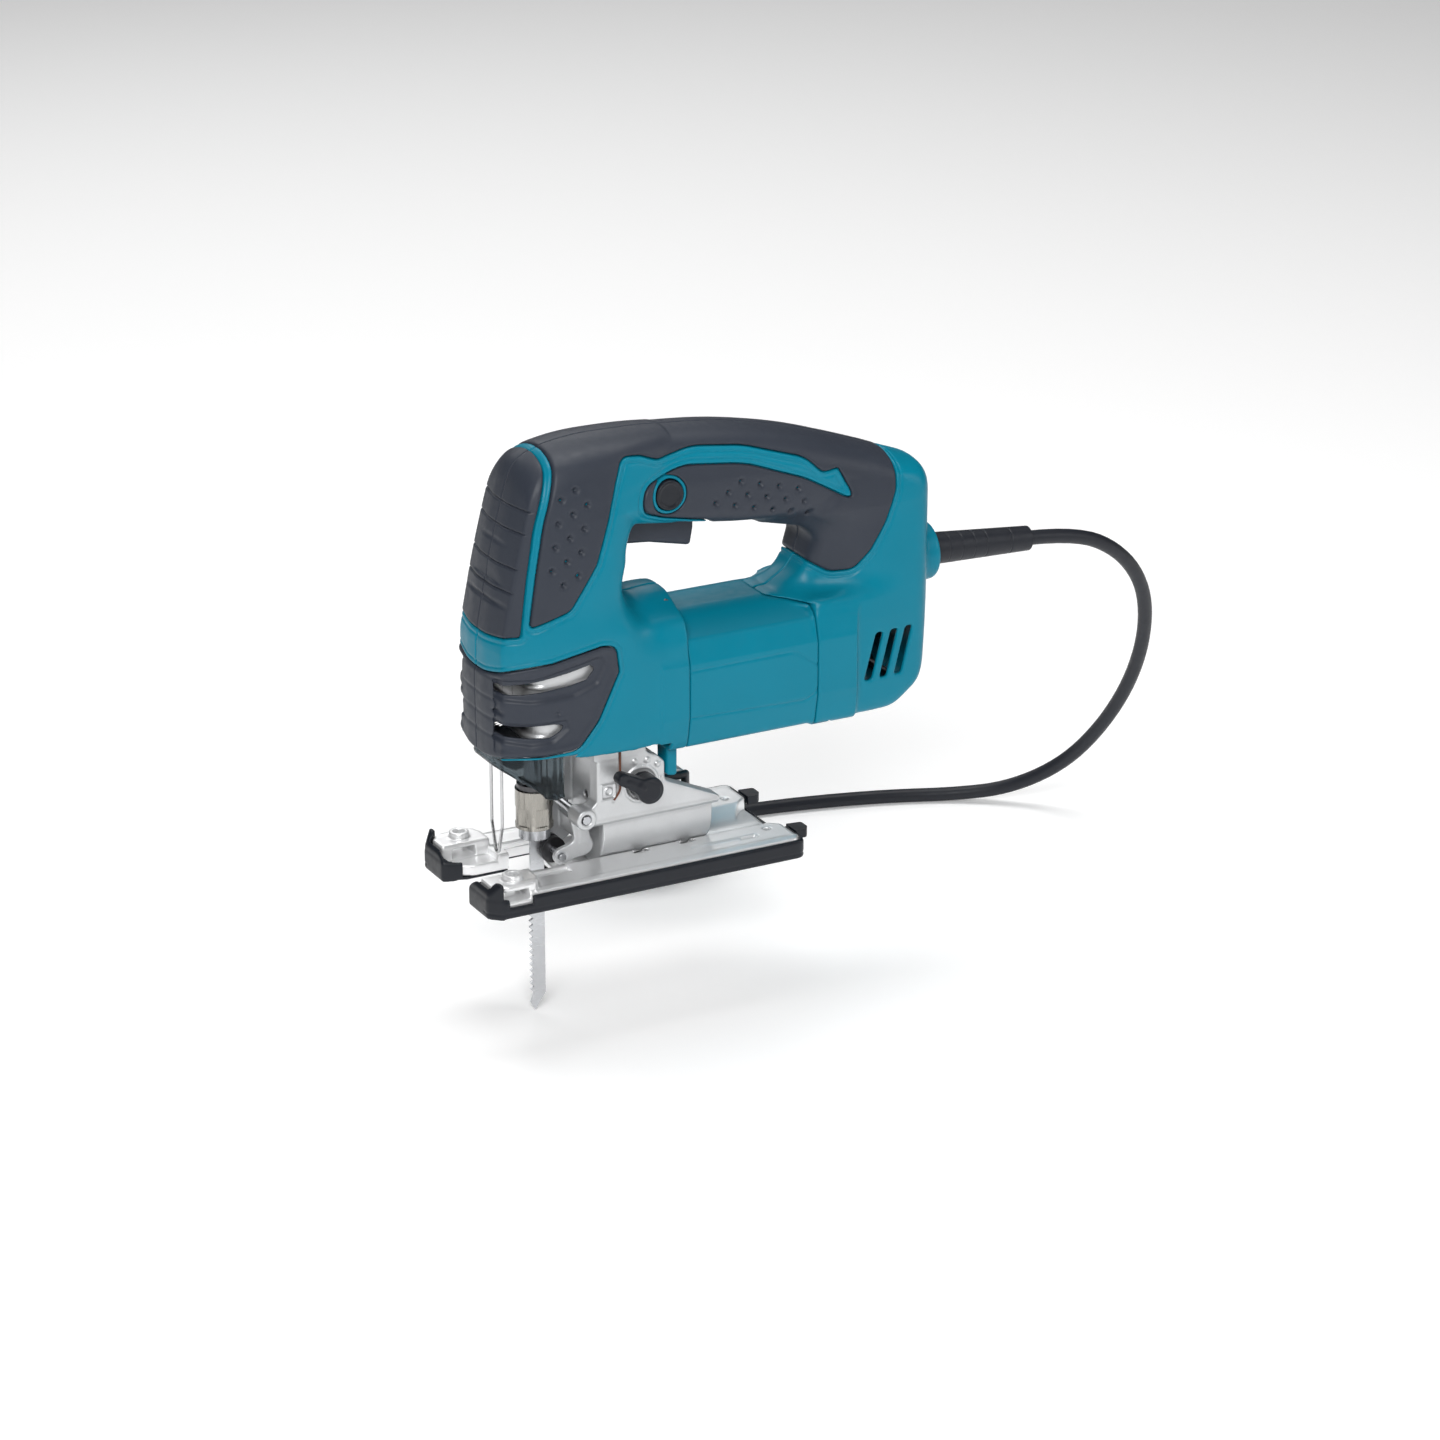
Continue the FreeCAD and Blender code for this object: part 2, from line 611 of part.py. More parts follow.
def armature():
    pinion = gear_wheel(PINION_TEETH, GEAR_MODULE, GEAR_FRONT - 1, GEAR_BACK + 3, MOTOR_Z, 0)
    shaft = joined([
        pinion, rod_x(GEAR_BACK + 3, 34, 0, MOTOR_Z, 3.2), rod_x(34, 41, 0, MOTOR_Z, 3.5),
        rod_x(41, 149.5, 0, MOTOR_Z, 4.0), rod_x(149.5, 157, 0, MOTOR_Z, 3.5),
    ])
    save("armature_shaft", shaft)

    core = ring_x(80, 118, 0, MOTOR_Z, 16.4, 4.0)
    slots = []
    for i in range(12):
        slot = box(78, 120, -0.9, 0.9, 10, 20)
        slot.rotate(V(0, 0, 0), V(1, 0, 0), 30 * i + 15)
        slot.translate(V(0, 0, MOTOR_Z))
        slots.append(slot)
    save("armature_core", less(core, slots))

    ends = []
    for x in (75, 123):
        ends.append(Part.makeTorus(9.6, 4.6, V(x, 0, MOTOR_Z), V(1, 0, 0)))
    save("armature_winding", Part.makeCompound(ends))

    commutator = ring_x(129.5, 141, 0, MOTOR_Z, 11.0, 4.0)
    for i in range(24):
        cut = box(131, 142, -0.25, 0.25, 10.1, 12)
        cut.rotate(V(0, 0, 0), V(1, 0, 0), 15 * i)
        cut.translate(V(0, 0, MOTOR_Z))
        commutator = commutator.cut(cut)
    save("commutator", commutator)

    fan = ring_x(50, 52, 0, MOTOR_Z, 26, 4.0).fuse(ring_x(50, 60, 0, MOTOR_Z, 8, 4.0))
    blades = []
    for i in range(14):
        vane = box(51, 60, -0.7, 0.7, 9.5, 25)
        vane.rotate(V(0, 0, 17), V(1, 0, 0), 22)
        vane.rotate(V(0, 0, 0), V(1, 0, 0), 360 / 14 * i)
        vane.translate(V(0, 0, MOTOR_Z))
        blades.append(vane)
    save("cooling_fan", joined([fan] + blades))


def motor_fixed_parts():
    bore = rod_x(60, 160, 0, MOTOR_Z, 17.1)
    field = rod_x(78.5, 119.5, 0, MOTOR_Z, 28.3)
    pockets = []
    for turn in (45, 135, 225, 315):
        pocket = box(70, 130, -3.6, 3.6, 16, 23.5)
        pocket.rotate(V(0, 0, 0), V(1, 0, 0), turn)
        pocket.translate(V(0, 0, MOTOR_Z))
        pockets.append(pocket)
    save("field_core", less(field, [bore] + pockets))

    coils = []
    for up in (1, -1):
        for x0, x1 in ((69, 78.3), (119.7, 126.5)):
            arch = ring_x(x0, x1, 0, MOTOR_Z, 25, 17.5)
            half = box(60, 130, -30, 30, 4, 40)
            if up < 0:
                half.rotate(V(0, 0, 0), V(1, 0, 0), 180)
            half.translate(V(0, 0, MOTOR_Z))
            coils.append(arch.common(half))
    save("field_coils", Part.makeCompound(coils))

    frame = ring_x(129, 138.5, 0, MOTOR_Z, 28.3, 13.5)
    holders, brushes, springs = [], [], []
    for way in (1, -1):
        y0, y1 = sorted((13.0 * way, 27.5 * way))
        body = box(130.3, 138.7, y0, y1, MOTOR_Z - 4.2, MOTOR_Z + 4.2)
        frame = frame.cut(body)
        holders.append(body.cut(box(131.4, 137.6, -26.8, 26.8, MOTOR_Z - 3.1, MOTOR_Z + 3.1)))
        y0, y1 = sorted((11.25 * way, 20.0 * way))
        block = box(131.5, 137.5, y0, y1, MOTOR_Z - 3.0, MOTOR_Z + 3.0)
        brushes.append(block.cut(rod_x(120, 150, 0, MOTOR_Z, 11.25)))
        for i in range(5):
            y = way * (20.9 + 1.25 * i)
            springs.append(Part.makeTorus(2.1, 0.4, V(134.5, y, MOTOR_Z), V(0, 1, 0)))
    save("brush_frame", frame)
    save("brush_holders", Part.makeCompound(holders))
    save("carbon_brushes", Part.makeCompound(brushes))
    save("brush_springs", Part.makeCompound(springs))

    front = ring_x(34, 41, 0, MOTOR_Z, 11.0, 3.5 + FIT)
    back = ring_x(149.8, 156, 0, MOTOR_Z, 9.5, 3.5 + FIT)
    save("ball_bearings", Part.makeCompound([front, back]))
    save("bearing_boot", ring_x(149.8, 156.2, 0, MOTOR_Z, 11.9, 9.5))


# ---------------------------------------------------------------- roller guide, orbital lever

def roller_guide():
    x, z = ROLLER
    wheel = rod_y(-3.5, 3.5, x, z, ROLLER_R).cut(rod_y(-5, 5, x, z, 1.6 + FIT))
    groove = rod_y(-0.95, 0.95, x, z, 8).cut(rod_y(-0.95, 0.95, x, z, 3.15))
    save("guide_roller", wheel.cut(groove))

    arms = []
    elbow = (19.0, 16.2)
    for y0, y1 in ((-12.6, -9.6), (9.6, 12.6)):
        arms.append(capsule_y(y0, y1, ROCKER, elbow, 3.4))
        arms.append(capsule_y(y0, y1, elbow, (x, z), 3.4))
    bridge = box(17.2, 21.5, -12.6, 12.6, 18, 26)
    arm = joined(arms + [bridge])
    arm = less(arm, [rod_y(-30, 30, *ROCKER, 2.0 + FIT), rod_y(-30, 30, x, z, 1.6)])
    save("roller_arm", arm)
    save("roller_pin", rod_y(-13.4, 13.4, x, z, 1.6))


def orbital_lever():
    hub = rod_y(-33, -22.5, *LEVER, 6.0)
    tip = (LEVER[0] - 13.8, LEVER[1] + 7.8)
    arm = capsule_y(-33, -26.5, LEVER, tip, 3.6)
    save("orbital_lever", joined([hub, arm]))
    shaft = rod_y(-22.5, -16, *LEVER, 4.0)
    cam = rod_y(-16, -6, *LEVER, 6.0).cut(box(30, 60, -17, 0, LEVER[1] + 2.5, 60))
    save("orbital_cam", joined([shaft, cam]))


# ---------------------------------------------------------------- shoe

def swept_slot(x, half_x, r_in, r_out, half_angle):
    """An arc-shaped slot about the tilt axis, open downwards."""
    band = ring_x(x - half_x, x + half_x, 0, TILT_Z, r_out, r_in)
    reach = 60.0
    y = reach * math.sin(math.radians(half_angle))
    z = TILT_Z - reach * math.cos(math.radians(half_angle))
    sector = [V(x - half_x, 0, TILT_Z), V(x - half_x, -y, z), V(x - half_x, -y, -60)]
    sector += [V(x - half_x, y, -60), V(x - half_x, y, z), V(x - half_x, 0, TILT_Z)]
    wedge = Part.Face(Part.makePolygon(sector)).extrude(V(2 * half_x, 0, 0))
    return band.common(wedge)


SHOE_PLAN = [
    (-38.3, 16.5, 2.5), (-36.5, 14.5, 4), (-26, 9.6, 8), (-8, 9.6, 2), (-8, -9.6, 2),
    (-26, -9.6, 8), (-36.5, -14.5, 4), (-38.3, -16.5, 2.5), (-38.3, -31, 3), (-31, -37, 4),
    (118.5, -37, 4), (118.5, 37, 4), (-31, 37, 4), (-38.3, 31, 3),
]
WEDGE = [(-25.0, -1.0, 0), (25.0, -1.0, 0), (13.2, 10.8, 0), (-13.2, 10.8, 0)]
FENCE_X = (-32.0, -20.4)
FENCE_Z = (7.3, 12.0)
BOSS_X = -25.0
BOSS_Y = 28.0
BOSS_TOP = 17.6


def shoe():
    plate = plan_prism(SHOE_PLAN, 1.6, RAIL_Z)
    sole = box(10, 112, -13, 13, 0, 1.6)
    blocks = []
    for shape in (
        plan_prism([(-37.2, 20, 1), (-37.2, 31, 3), (-31, 36, 4), (-17, 36, 2), (-13, 30, 2), (-13, 20, 1)][::-1], 6, PRONG_Z),
        rod_z(PRONG_Z - 1, BOSS_TOP, BOSS_X, BOSS_Y, 4.6),
    ):
        blocks += both_sides(shape)
    body = joined([plate, sole] + blocks)
    ledge = plan_prism([(-45, 5, 0), (-14, 5, 0), (-14, 20, 1), (-45, 20, 0)], 6, 20)
    cuts = both_sides(ledge)
    cuts += [
        rod_x(-3, 130, 0, TILT_Z, TROUGH_R),
        front_prism(WEDGE, -8.5, 8.0),
        box(-3, 130, -14.1, 14.1, RAIL_Z - 0.01, 30),
        box(FENCE_X[0], FENCE_X[1], -50, 50, *FENCE_Z),
    ]
    for x in BASE_BOLTS:
        cuts.append(swept_slot(x, 2.4, TROUGH_R - 1, BOLT_HEAD_IN - 0.15, 53))
        cuts.append(swept_slot(x, 4.0, BOLT_HEAD_IN - 0.2, BOLT_HEAD_OUT + 0.6, 54.8))
        cuts.append(box(x - 4, x + 4, -9, 9, -1, 1.0))
    for y in (-BOSS_Y, BOSS_Y):
        cuts.append(rod_z(FENCE_Z[1] - 1, 20, BOSS_X, y, 2.5))
    for y in (-20.5, 20.5):
        cuts.append(rod_z(0, 20, 109.3, y, 1.6))
    for side in (-1, 1):
        y0, y1 = sorted((23.0 * side, 27.0 * side))
        cuts.append(box(70, 96, y0, y1, RAIL_Z - 0.9, 20))
        cuts.append(box(94, 102, y0, y1, 3, 20))
        y0, y1 = sorted((17.0 * side, 22.0 * side))
        cuts.append(box(-11, 8, y0, y1, RAIL_Z - 1.4, 20))
    whole = less(body, cuts)
    above = box(-60, 0, -50, 50, FENCE_Z[1], 40)
    save("shoe", whole_of(whole.cut(above)))
    save("fence_caps", whole.common(above))


COVER_PLAN = [
    (-40.3, 14.0, 2), (-29, 10.2, 6), (-8.6, 10.2, 1), (-8.6, -10.2, 1), (-29, -10.2, 6),
    (-40.3, -14.0, 2), (-40.3, -33.5, 3), (-34.5, -39, 3), (120.5, -39, 5), (120.5, 39, 5),
    (-34.5, 39, 3), (-40.3, 33.5, 3),
]


def shoe_cover():
    """The slip-on plastic sole: a floor, a rim and two raised front corners."""
    tray = plan_prism(COVER_PLAN, 0, 9.2)
    metal = plan_prism(SHOE_PLAN, 1.6, 30)
    low = box(-31, -19.5, 30, 45, 5.4, 20)
    front_open = box(-31, 130, -16, 16, 1.6, 20).cut(box(112, 130, -20, 20, 0, 3.2))
    cap_side = [(-40.3, 0, 0), (-34, 0, 0), (-34, 16.6, 1), (-35.6, 17.2, 1), (-40.3, 11, 2)]
    caps = []
    for cap in both_sides(side_prism(cap_side, 15, 39)):
        rising = [(12, -1, 0), (42, -1, 0), (42, 30, 0), (27, 30, 0), (24, 17, 0), (12, 8, 0)]
        trim = front_prism(rising, -45, -30)
        caps.append(cap.common(joined(both_sides(trim))).common(plan_prism(COVER_PLAN, 0, 30)))
    blocks = plan_prism([(-37.2, 20, 1), (-37.2, 31, 3), (-31, 36, 4), (-17, 36, 2), (-13, 30, 2), (-13, 20, 1)][::-1], 5, 30)
    tray = joined([tray] + caps)
    tray = less(tray, [metal, low, low.mirror(V(0, 0, 0), V(0, 1, 0)), front_open] + both_sides(blocks))
    cut = [box(10, 112, -13, 13, -1, 3), front_prism(WEDGE, -8.5, 9.0), rod_x(-3, 130, 0, TILT_Z, TROUGH_R)]
    for x in BASE_BOLTS:
        cut.append(box(x - 4, x + 4, -9.5, 9.5, -1, 2))
    save("shoe_cover", whole_of(less(tray, cut)))

    clips = []
    for side in (-1, 1):
        y0, y1 = sorted((18.5 * side, 28.5 * side))
        pad = plan_prism([(120.6, y0, 0), (126, y0, 1.5), (128, y0 + 3, 1), (128, y1 - 1, 1.5), (120.6, y1, 0)], 5.4, 9.4)
        clips.append(pad)
    save("cover_clips", Part.makeCompound(clips))


# ---------------------------------------------------------------- small outside parts

def dust_cover_and_wire():
    plan = [(-25.3, 0, 0), (-25.3, -13, 8), (-16, -21.5, 10), (7, -21.5, 0), (7, 21.5, 0), (-16, 21.5, 10), (-25.3, 13, 8)]
    shell = plan_prism(plan, 43, 68)
    shell = shell.cut(plan_prism(inset(plan, 1.6), 40, 70)).cut(box(5, 20, -30, 30, 40, 70))
    bevel = side_prism([(-30, 66, 0), (-30, 30, 0), (12, 30, 0), (12, 54, 0), (-6, 44.5, 20), (-13, 45, 3), (-26, 63.5, 10)], -30, 30)
    save("dust_cover", whole_of(shell.cut(bevel)))

    wire = 0.75
    x, top, low = -18.8, 69.9, 15.5
    path = [V(x, -5.5, top), V(x, -5.5, 30), V(x, -1.8, low + wire + 1), V(x, 0, low + wire), V(x, 1.8, low + wire + 1), V(x, 5.5, 30), V(x, 5.5, top)]
    arc = Part.Arc(path[2], path[3], path[4]).toShape()
    edges = [Part.LineSegment(path[0], path[1]).toShape(), Part.LineSegment(path[1], path[2]).toShape(), arc]
    edges += [Part.LineSegment(path[4], path[5]).toShape(), Part.LineSegment(path[5], path[6]).toShape()]
    ring = Part.Wire([Part.makeCircle(wire, path[0], V(0, 0, 1))])
    sweep = Part.Wire(edges).makePipeShell([ring], True, True, 2)
    save("finger_guard", sweep)


def trigger_and_button():
    outline = [
        (40.0, 158.3, 2), (56, 157.0, 30), (76.5, 152.3, 2), (78.6, 159.5, 3), (78.6, 166, 2),
        (60, 171, 6), (47, 175.5, 3), (40.0, 172, 2),
    ]
    lever = side_prism(outline, -7.0, 7.0).cut(rod_y(-20, 20, *TRIGGER_PIVOT, 1.5 + FIT))
    save("trigger", lever)
    x, z = BUTTON
    cap = rod_y(-23.4, -13, x, z, BUTTON_HOLE_R - 0.3)
    cap = cap.fuse(rod_y(-16.5, -14.8, x, z, 8.2)).cut(rod_y(-30, -22.6, x, z, 5.4).cut(rod_y(-30, -22.0, x, z, 4.9)))
    save("lock_button", joined([cap, rod_y(-13, -8, x, z, 3)]))
    coils = []
    for i in range(4):
        coils.append(Part.makeTorus(4.6, 0.4, V(x, -12.4 + 1.5 * i, z), V(0, 1, 0)))
    save("button_spring", Part.makeCompound(coils))


def switch_and_electronics():
    body = box(70, 108, -10.5, 10.5, 178, 194)
    save("switch", joined([body, box(66, 70, -4, 4, 179, 184)]))
    save("speed_module", box(160, 174, -11, 11, 96, 118))
    x, z = DIAL
    wheel = rod_y(-4.6, 4.6, x, z, 11.0).cut(rod_y(-6, 6, x, z, 2.0 + FIT))
    notches = []
    for i in range(30):
        angle = 2 * math.pi * i / 30
        notches.append(rod_y(-6, 6, x + 11.2 * math.cos(angle), z + 11.2 * math.sin(angle), 0.55))
    save("speed_dial", less(wheel, notches))


def pivot_pins():
    """The steel pins that the roller arm, the trigger and the speed dial turn on."""
    pins = [rod_y(-23, 23, *ROCKER, 2.0), rod_y(-7.6, 7.6, *TRIGGER_PIVOT, 1.5), rod_y(-7, 7, *DIAL, 2.0)]
    save("pivot_pins", Part.makeCompound(pins))


def hex_key():
    """The key for the base bolts, kept in two holes through the foot's walls."""
    long_arm = rod_x(*KEY_X, 0, KEY_Z, KEY_R)
    bend = Part.makeSphere(KEY_R, V(KEY_X[1], 0, KEY_Z))
    short_arm = Part.makeCylinder(KEY_R, KEY_SHORT, V(KEY_X[1], 0, KEY_Z), V(0, 0, -1))
    save("hex_key", joined([long_arm, bend, short_arm]))


# ---------------------------------------------------------------- cord

def rounded_path(points):
    """Straight runs joined by tangent arcs, and the arcs' radii."""
    edges, radii = [], []
    start = points[0]
    for i in range(1, len(points) - 1):
        back = points[i - 1] - points[i]
        on = points[i + 1] - points[i]
        turn = math.pi - back.getAngle(on)
        cut = 0.45 * min(back.Length, on.Length)
        radius = cut / math.tan(turn / 2)
        radii.append(radius)
        back.normalize()
        on.normalize()
        a = points[i] + back * cut
        b = points[i] + on * cut
        bisector = (back + on).normalize()
        middle = points[i] + bisector * (radius / math.cos(turn / 2) - radius)
        edges.append(Part.LineSegment(start, a).toShape())
        edges.append(Part.Arc(a, middle, b).toShape())
        start = b
    edges.append(Part.LineSegment(start, points[-1]).toShape())
    return Part.Wire(edges), radii


def racetrack(radius, half_cord, z0, z1):
    """The outside of one stack of long turns, its ends half round."""
    r = radius + half_cord
    ends = [rod_z(z0, z1, x, HANK_Y, r) for x in (HANK_LEFT, HANK_RIGHT)]
    return joined(ends + [box(HANK_LEFT, HANK_RIGHT, HANK_Y - r, HANK_Y + r, z0, z1)])


def cord():
    half = CORD_D / 2
    path, radii = rounded_path(ROUTE)
    start = ROUTE[0]
    section = Part.Wire([Part.makeCircle(half, start, ROUTE[1] - start)])
    tube = path.makePipeShell([section], True, True, 2)
    print("cord radii mm:", [round(r, 1) for r in radii])
    print("cord runs mm:", [round((b - a).Length, 1) for a, b in zip(ROUTE, ROUTE[1:])])
    print("cord tube volume over section x length:", round(tube.Volume / (math.pi * half**2 * path.Length), 4))

    height = HANK_LAYERS * CORD_D
    hank = racetrack(FOLD_OUTER, half, FLOOR_Z, FLOOR_Z + height)
    hole = racetrack(FOLD_INNER, -half, FLOOR_Z - 1, FLOOR_Z + height + 1)
    hank = hank.cut(hole)
    tie_x = (HANK_LEFT + HANK_RIGHT) / 2
    turns = 0
    for radius in (FOLD_INNER, FOLD_OUTER):
        turns += 2 * (HANK_RIGHT - HANK_LEFT) + 2 * math.pi * radius
    print("cord length mm: route", round(path.Length), "hank", round(turns * HANK_LAYERS))
    save("cord", tube)
    save("cord_hank", hank)

    tie = box(tie_x - 4, tie_x + 4, HANK_Y + FOLD_INNER - half - 1.2, HANK_Y + FOLD_OUTER + half + 1.2, FLOOR_Z, FLOOR_Z + height + 1.2)
    inside = box(tie_x - 5, tie_x + 5, HANK_Y + FOLD_INNER - half, HANK_Y + FOLD_OUTER + half, FLOOR_Z - 1, FLOOR_Z + height)
    save("cord_tie", tie.cut(inside))

    top = FLOOR_Z + height
    plug_y = HANK_Y - 21.0
    body = [
        (99, plug_y - 8, 4), (107, plug_y - 12.5, 4), (133, plug_y - 12.5, 3),
        (133, plug_y + 12.5, 3), (107, plug_y + 12.5, 4), (99, plug_y + 8, 4),
    ]
    save("plug", plan_prism(body, top, top + 15))
    pins = []
    for y in (plug_y - 6.35, plug_y + 6.35):
        pins.append(box(133, 150, y - 0.75, y + 0.75, top + 4.3, top + 10.7))
    save("plug_pins", Part.makeCompound(pins))


def cord_guard():
    start = V(CORD_BOSS_END - 1, 0, CORD_Z)
    along = GUARD_END - start
    taper = Part.makeCone(GUARD_ROOT_R - 0.1, 5.9, along.Length, start, along)
    root = rod_x(184, CORD_BOSS_END - 0.5, 0, CORD_Z, GUARD_ROOT_R)
    flange = rod_x(184, 188, 0, CORD_Z, 10.5).common(rear(WALL + 0.3))
    grooves = []
    for i in range(6):
        middle = start + along * (0.2 + 0.12 * i)
        grooves.append(Part.makeTorus(8.0 - 0.25 * i, 0.7, middle, along))
    guard = joined([taper, root, flange])
    save("cord_guard", less(guard, grooves))
    save("cord_clamp", box(176, 180, -11, 11, CORD_Z - 6, CORD_Z - 0.8).cut(rod_x(170, 184, 0, CORD_Z, CORD_D / 2)))


def main():
    os.makedirs(PARTS, exist_ok=True)
    casing_parts()
    casing_screws()
    gear_housing()
    base_bolts()
    drive_gear()
    yoke()
    plunger()
    blade()
    armature()
    motor_fixed_parts()
    roller_guide()
    orbital_lever()
    shoe()
    shoe_cover()
    dust_cover_and_wire()
    trigger_and_button()
    switch_and_electronics()
    pivot_pins()
    hex_key()
    cord()
    cord_guard()


main()
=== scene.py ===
"""The looks of a D-handle jigsaw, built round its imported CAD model.

The saw cuts towards -X, its cord leaves towards +X, +Z is up and Y = 0 is its mid-plane.
Moulded and cast pieces are modelled as signed distances in millimetres on a fine grid, which
lets broad shapes flow into each other, and are then skinned. Blender itself works in metres.
"""

import math

import bpy
import numpy as np
import openvdb
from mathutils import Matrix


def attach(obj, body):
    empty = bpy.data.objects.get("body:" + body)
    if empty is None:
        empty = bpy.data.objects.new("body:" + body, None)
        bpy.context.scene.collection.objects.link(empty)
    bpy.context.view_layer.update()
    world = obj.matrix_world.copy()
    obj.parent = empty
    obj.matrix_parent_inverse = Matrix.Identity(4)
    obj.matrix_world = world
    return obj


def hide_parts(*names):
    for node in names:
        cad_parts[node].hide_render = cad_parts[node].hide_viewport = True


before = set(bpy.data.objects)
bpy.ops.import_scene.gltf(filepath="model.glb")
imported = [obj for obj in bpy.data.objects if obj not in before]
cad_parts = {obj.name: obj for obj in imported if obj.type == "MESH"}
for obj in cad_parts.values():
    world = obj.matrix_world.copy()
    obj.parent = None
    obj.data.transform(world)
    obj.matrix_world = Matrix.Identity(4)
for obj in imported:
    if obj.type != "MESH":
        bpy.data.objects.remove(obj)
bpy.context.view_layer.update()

MM = 0.001
FLOOR_Z = -67.0           # just below the blade's tip
SMALLEST_PIECE = 0.02     # share of the faces below which a loose fragment is dropped

# -------------------- camera

camera_data = bpy.data.cameras.new("camera")
camera_data.lens = 125.0
camera_data.sensor_width = 36.0
camera_data.clip_end = 50.0
camera = bpy.data.objects.new("camera", camera_data)
camera.location = (-0.9122, -1.8957, 0.905)
camera.rotation_euler = (math.radians(90 - 21.5), 0, math.radians(-28))
bpy.context.scene.collection.objects.link(camera)
bpy.context.scene.camera = camera


# -------------------- materials

def shader(name):
    """A new material, its node tree and its main shader."""
    made = bpy.data.materials.new(name)
    made.use_nodes = True
    return made, made.node_tree, made.node_tree.nodes["Principled BSDF"]


def noise(tree, scale, detail=3.0, stretch=(1, 1, 1)):
    """Noise in the saw's own space; scale is in patches to the metre."""
    place = tree.nodes.new("ShaderNodeTexCoord")
    mapping = tree.nodes.new("ShaderNodeMapping")
    mapping.inputs["Scale"].default_value = stretch
    texture = tree.nodes.new("ShaderNodeTexNoise")
    texture.inputs["Scale"].default_value = scale
    texture.inputs["Detail"].default_value = detail
    tree.links.new(place.outputs["Object"], mapping.inputs["Vector"])
    tree.links.new(mapping.outputs["Vector"], texture.inputs["Vector"])
    return texture.outputs["Fac"]


def spread_between(tree, value, low, high, start=0.3, end=0.7):
    """A value from start to end turned into one from low to high."""
    ramp = tree.nodes.new("ShaderNodeMapRange")
    for name, limit in (("From Min", start), ("From Max", end), ("To Min", low), ("To Max", high)):
        ramp.inputs[name].default_value = limit
    tree.links.new(value, ramp.inputs["Value"])
    return ramp.outputs["Result"]


def mixed(tree, factor, first, second):
    """Two plain colours mixed by a factor."""
    mix = tree.nodes.new("ShaderNodeMix")
    mix.data_type = "RGBA"
    mix.inputs["A"].default_value = (*first, 1)
    mix.inputs["B"].default_value = (*second, 1)
    tree.links.new(factor, mix.inputs["Factor"])
    return mix.outputs["Result"]


def finish_surface(tree, bsdf, height, depth, soften):
    """Bump of the given depth in metres, over edges softened by a small radius."""
    bump = tree.nodes.new("ShaderNodeBump")
    bump.inputs["Strength"].default_value = 1.0
    bump.inputs["Distance"].default_value = depth
    tree.links.new(height, bump.inputs["Height"])
    if soften:
        bevel = tree.nodes.new("ShaderNodeBevel")
        bevel.samples = 4
        bevel.inputs["Radius"].default_value = soften
        tree.links.new(bevel.outputs["Normal"], bump.inputs["Normal"])
    tree.links.new(bump.outputs["Normal"], bsdf.inputs["Normal"])


def shades(colour, share):
    """A slightly darker and a slightly lighter shade of one colour."""
    return [c * (1 - share) for c in colour], [c * (1 + share) for c in colour]


def moulded(name, colour, rough, grain, depth, soften=0.0, shine=0.3, variation=0.05):
    """Moulded plastic or rubber with a fine spark-eroded grain."""
    made, tree, bsdf = shader(name)
    cloud = noise(tree, 35)
    tree.links.new(mixed(tree, cloud, *shades(colour, variation)), bsdf.inputs["Base Color"])
    scuffs = noise(tree, 260, 4)
    tree.links.new(spread_between(tree, scuffs, rough - 0.05, rough + 0.06), bsdf.inputs["Roughness"])
    bsdf.inputs["Specular IOR Level"].default_value = shine
    finish_surface(tree, bsdf, noise(tree, grain, 2), depth, soften)
    return made


def metal(name, colour, rough, grain, depth, stretch=(1, 1, 1), soften=0.0, variation=0.12, metallic=1.0):
    """Bare metal; stretch draws its grain out into brush or grinding marks."""
    made, tree, bsdf = shader(name)
    bsdf.inputs["Metallic"].default_value = metallic
    stain = noise(tree, 70, 4)
    tree.links.new(mixed(tree, stain, *shades(colour, variation)), bsdf.inputs["Base Color"])
    marks = noise(tree, grain, 3, stretch)
    tree.links.new(spread_between(tree, marks, rough - 0.07, rough + 0.08), bsdf.inputs["Roughness"])
    finish_surface(tree, bsdf, marks, depth, soften)
    return made


def smoky(name, colour, rough):
    """Thin clear plastic with a smoky tint and faint scratches."""
    made, tree, bsdf = shader(name)
    scratches = noise(tree, 900, 3, (1, 1, 0.08))
    bsdf.inputs["Base Color"].default_value = (*colour, 1)
    bsdf.inputs["Transmission Weight"].default_value = 0.9
    bsdf.inputs["IOR"].default_value = 1.2
    tree.links.new(spread_between(tree, scratches, rough, rough + 0.08), bsdf.inputs["Roughness"])
    finish_surface(tree, bsdf, scratches, 0.00001, 0.0)
    return made


EDGE = 0.0004             # how far the edges of CAD pieces look rounded, in metres
TEAL = moulded("teal_nylon", (0.0005, 0.19, 0.28), 0.36, 2600, 0.000012, shine=0.2)
GRIP = moulded("soft_grip", (0.031, 0.037, 0.051), 0.46, 3200, 0.00003, variation=0.08)
GRIP_PART = moulded("soft_grip_part", (0.022, 0.026, 0.034), 0.48, 3200, 0.00003, soften=EDGE)
BLACK = moulded("black_nylon", (0.011, 0.013, 0.018), 0.38, 2600, 0.00002)
BLACK_PART = moulded("black_nylon_part", (0.011, 0.013, 0.018), 0.38, 2600, 0.00002, soften=EDGE)
CORD_RUBBER = moulded("cord_rubber", (0.016, 0.018, 0.024), 0.45, 1800, 0.00002, variation=0.1)
GUARD_RUBBER = moulded("guard_rubber", (0.016, 0.018, 0.024), 0.45, 1800, 0.00003, soften=EDGE)
INNER = moulded("inner_plastic", (0.16, 0.16, 0.165), 0.5, 2200, 0.00002, soften=EDGE)
GRAPHITE = moulded("graphite", (0.02, 0.02, 0.02), 0.6, 4000, 0.00003, soften=EDGE)
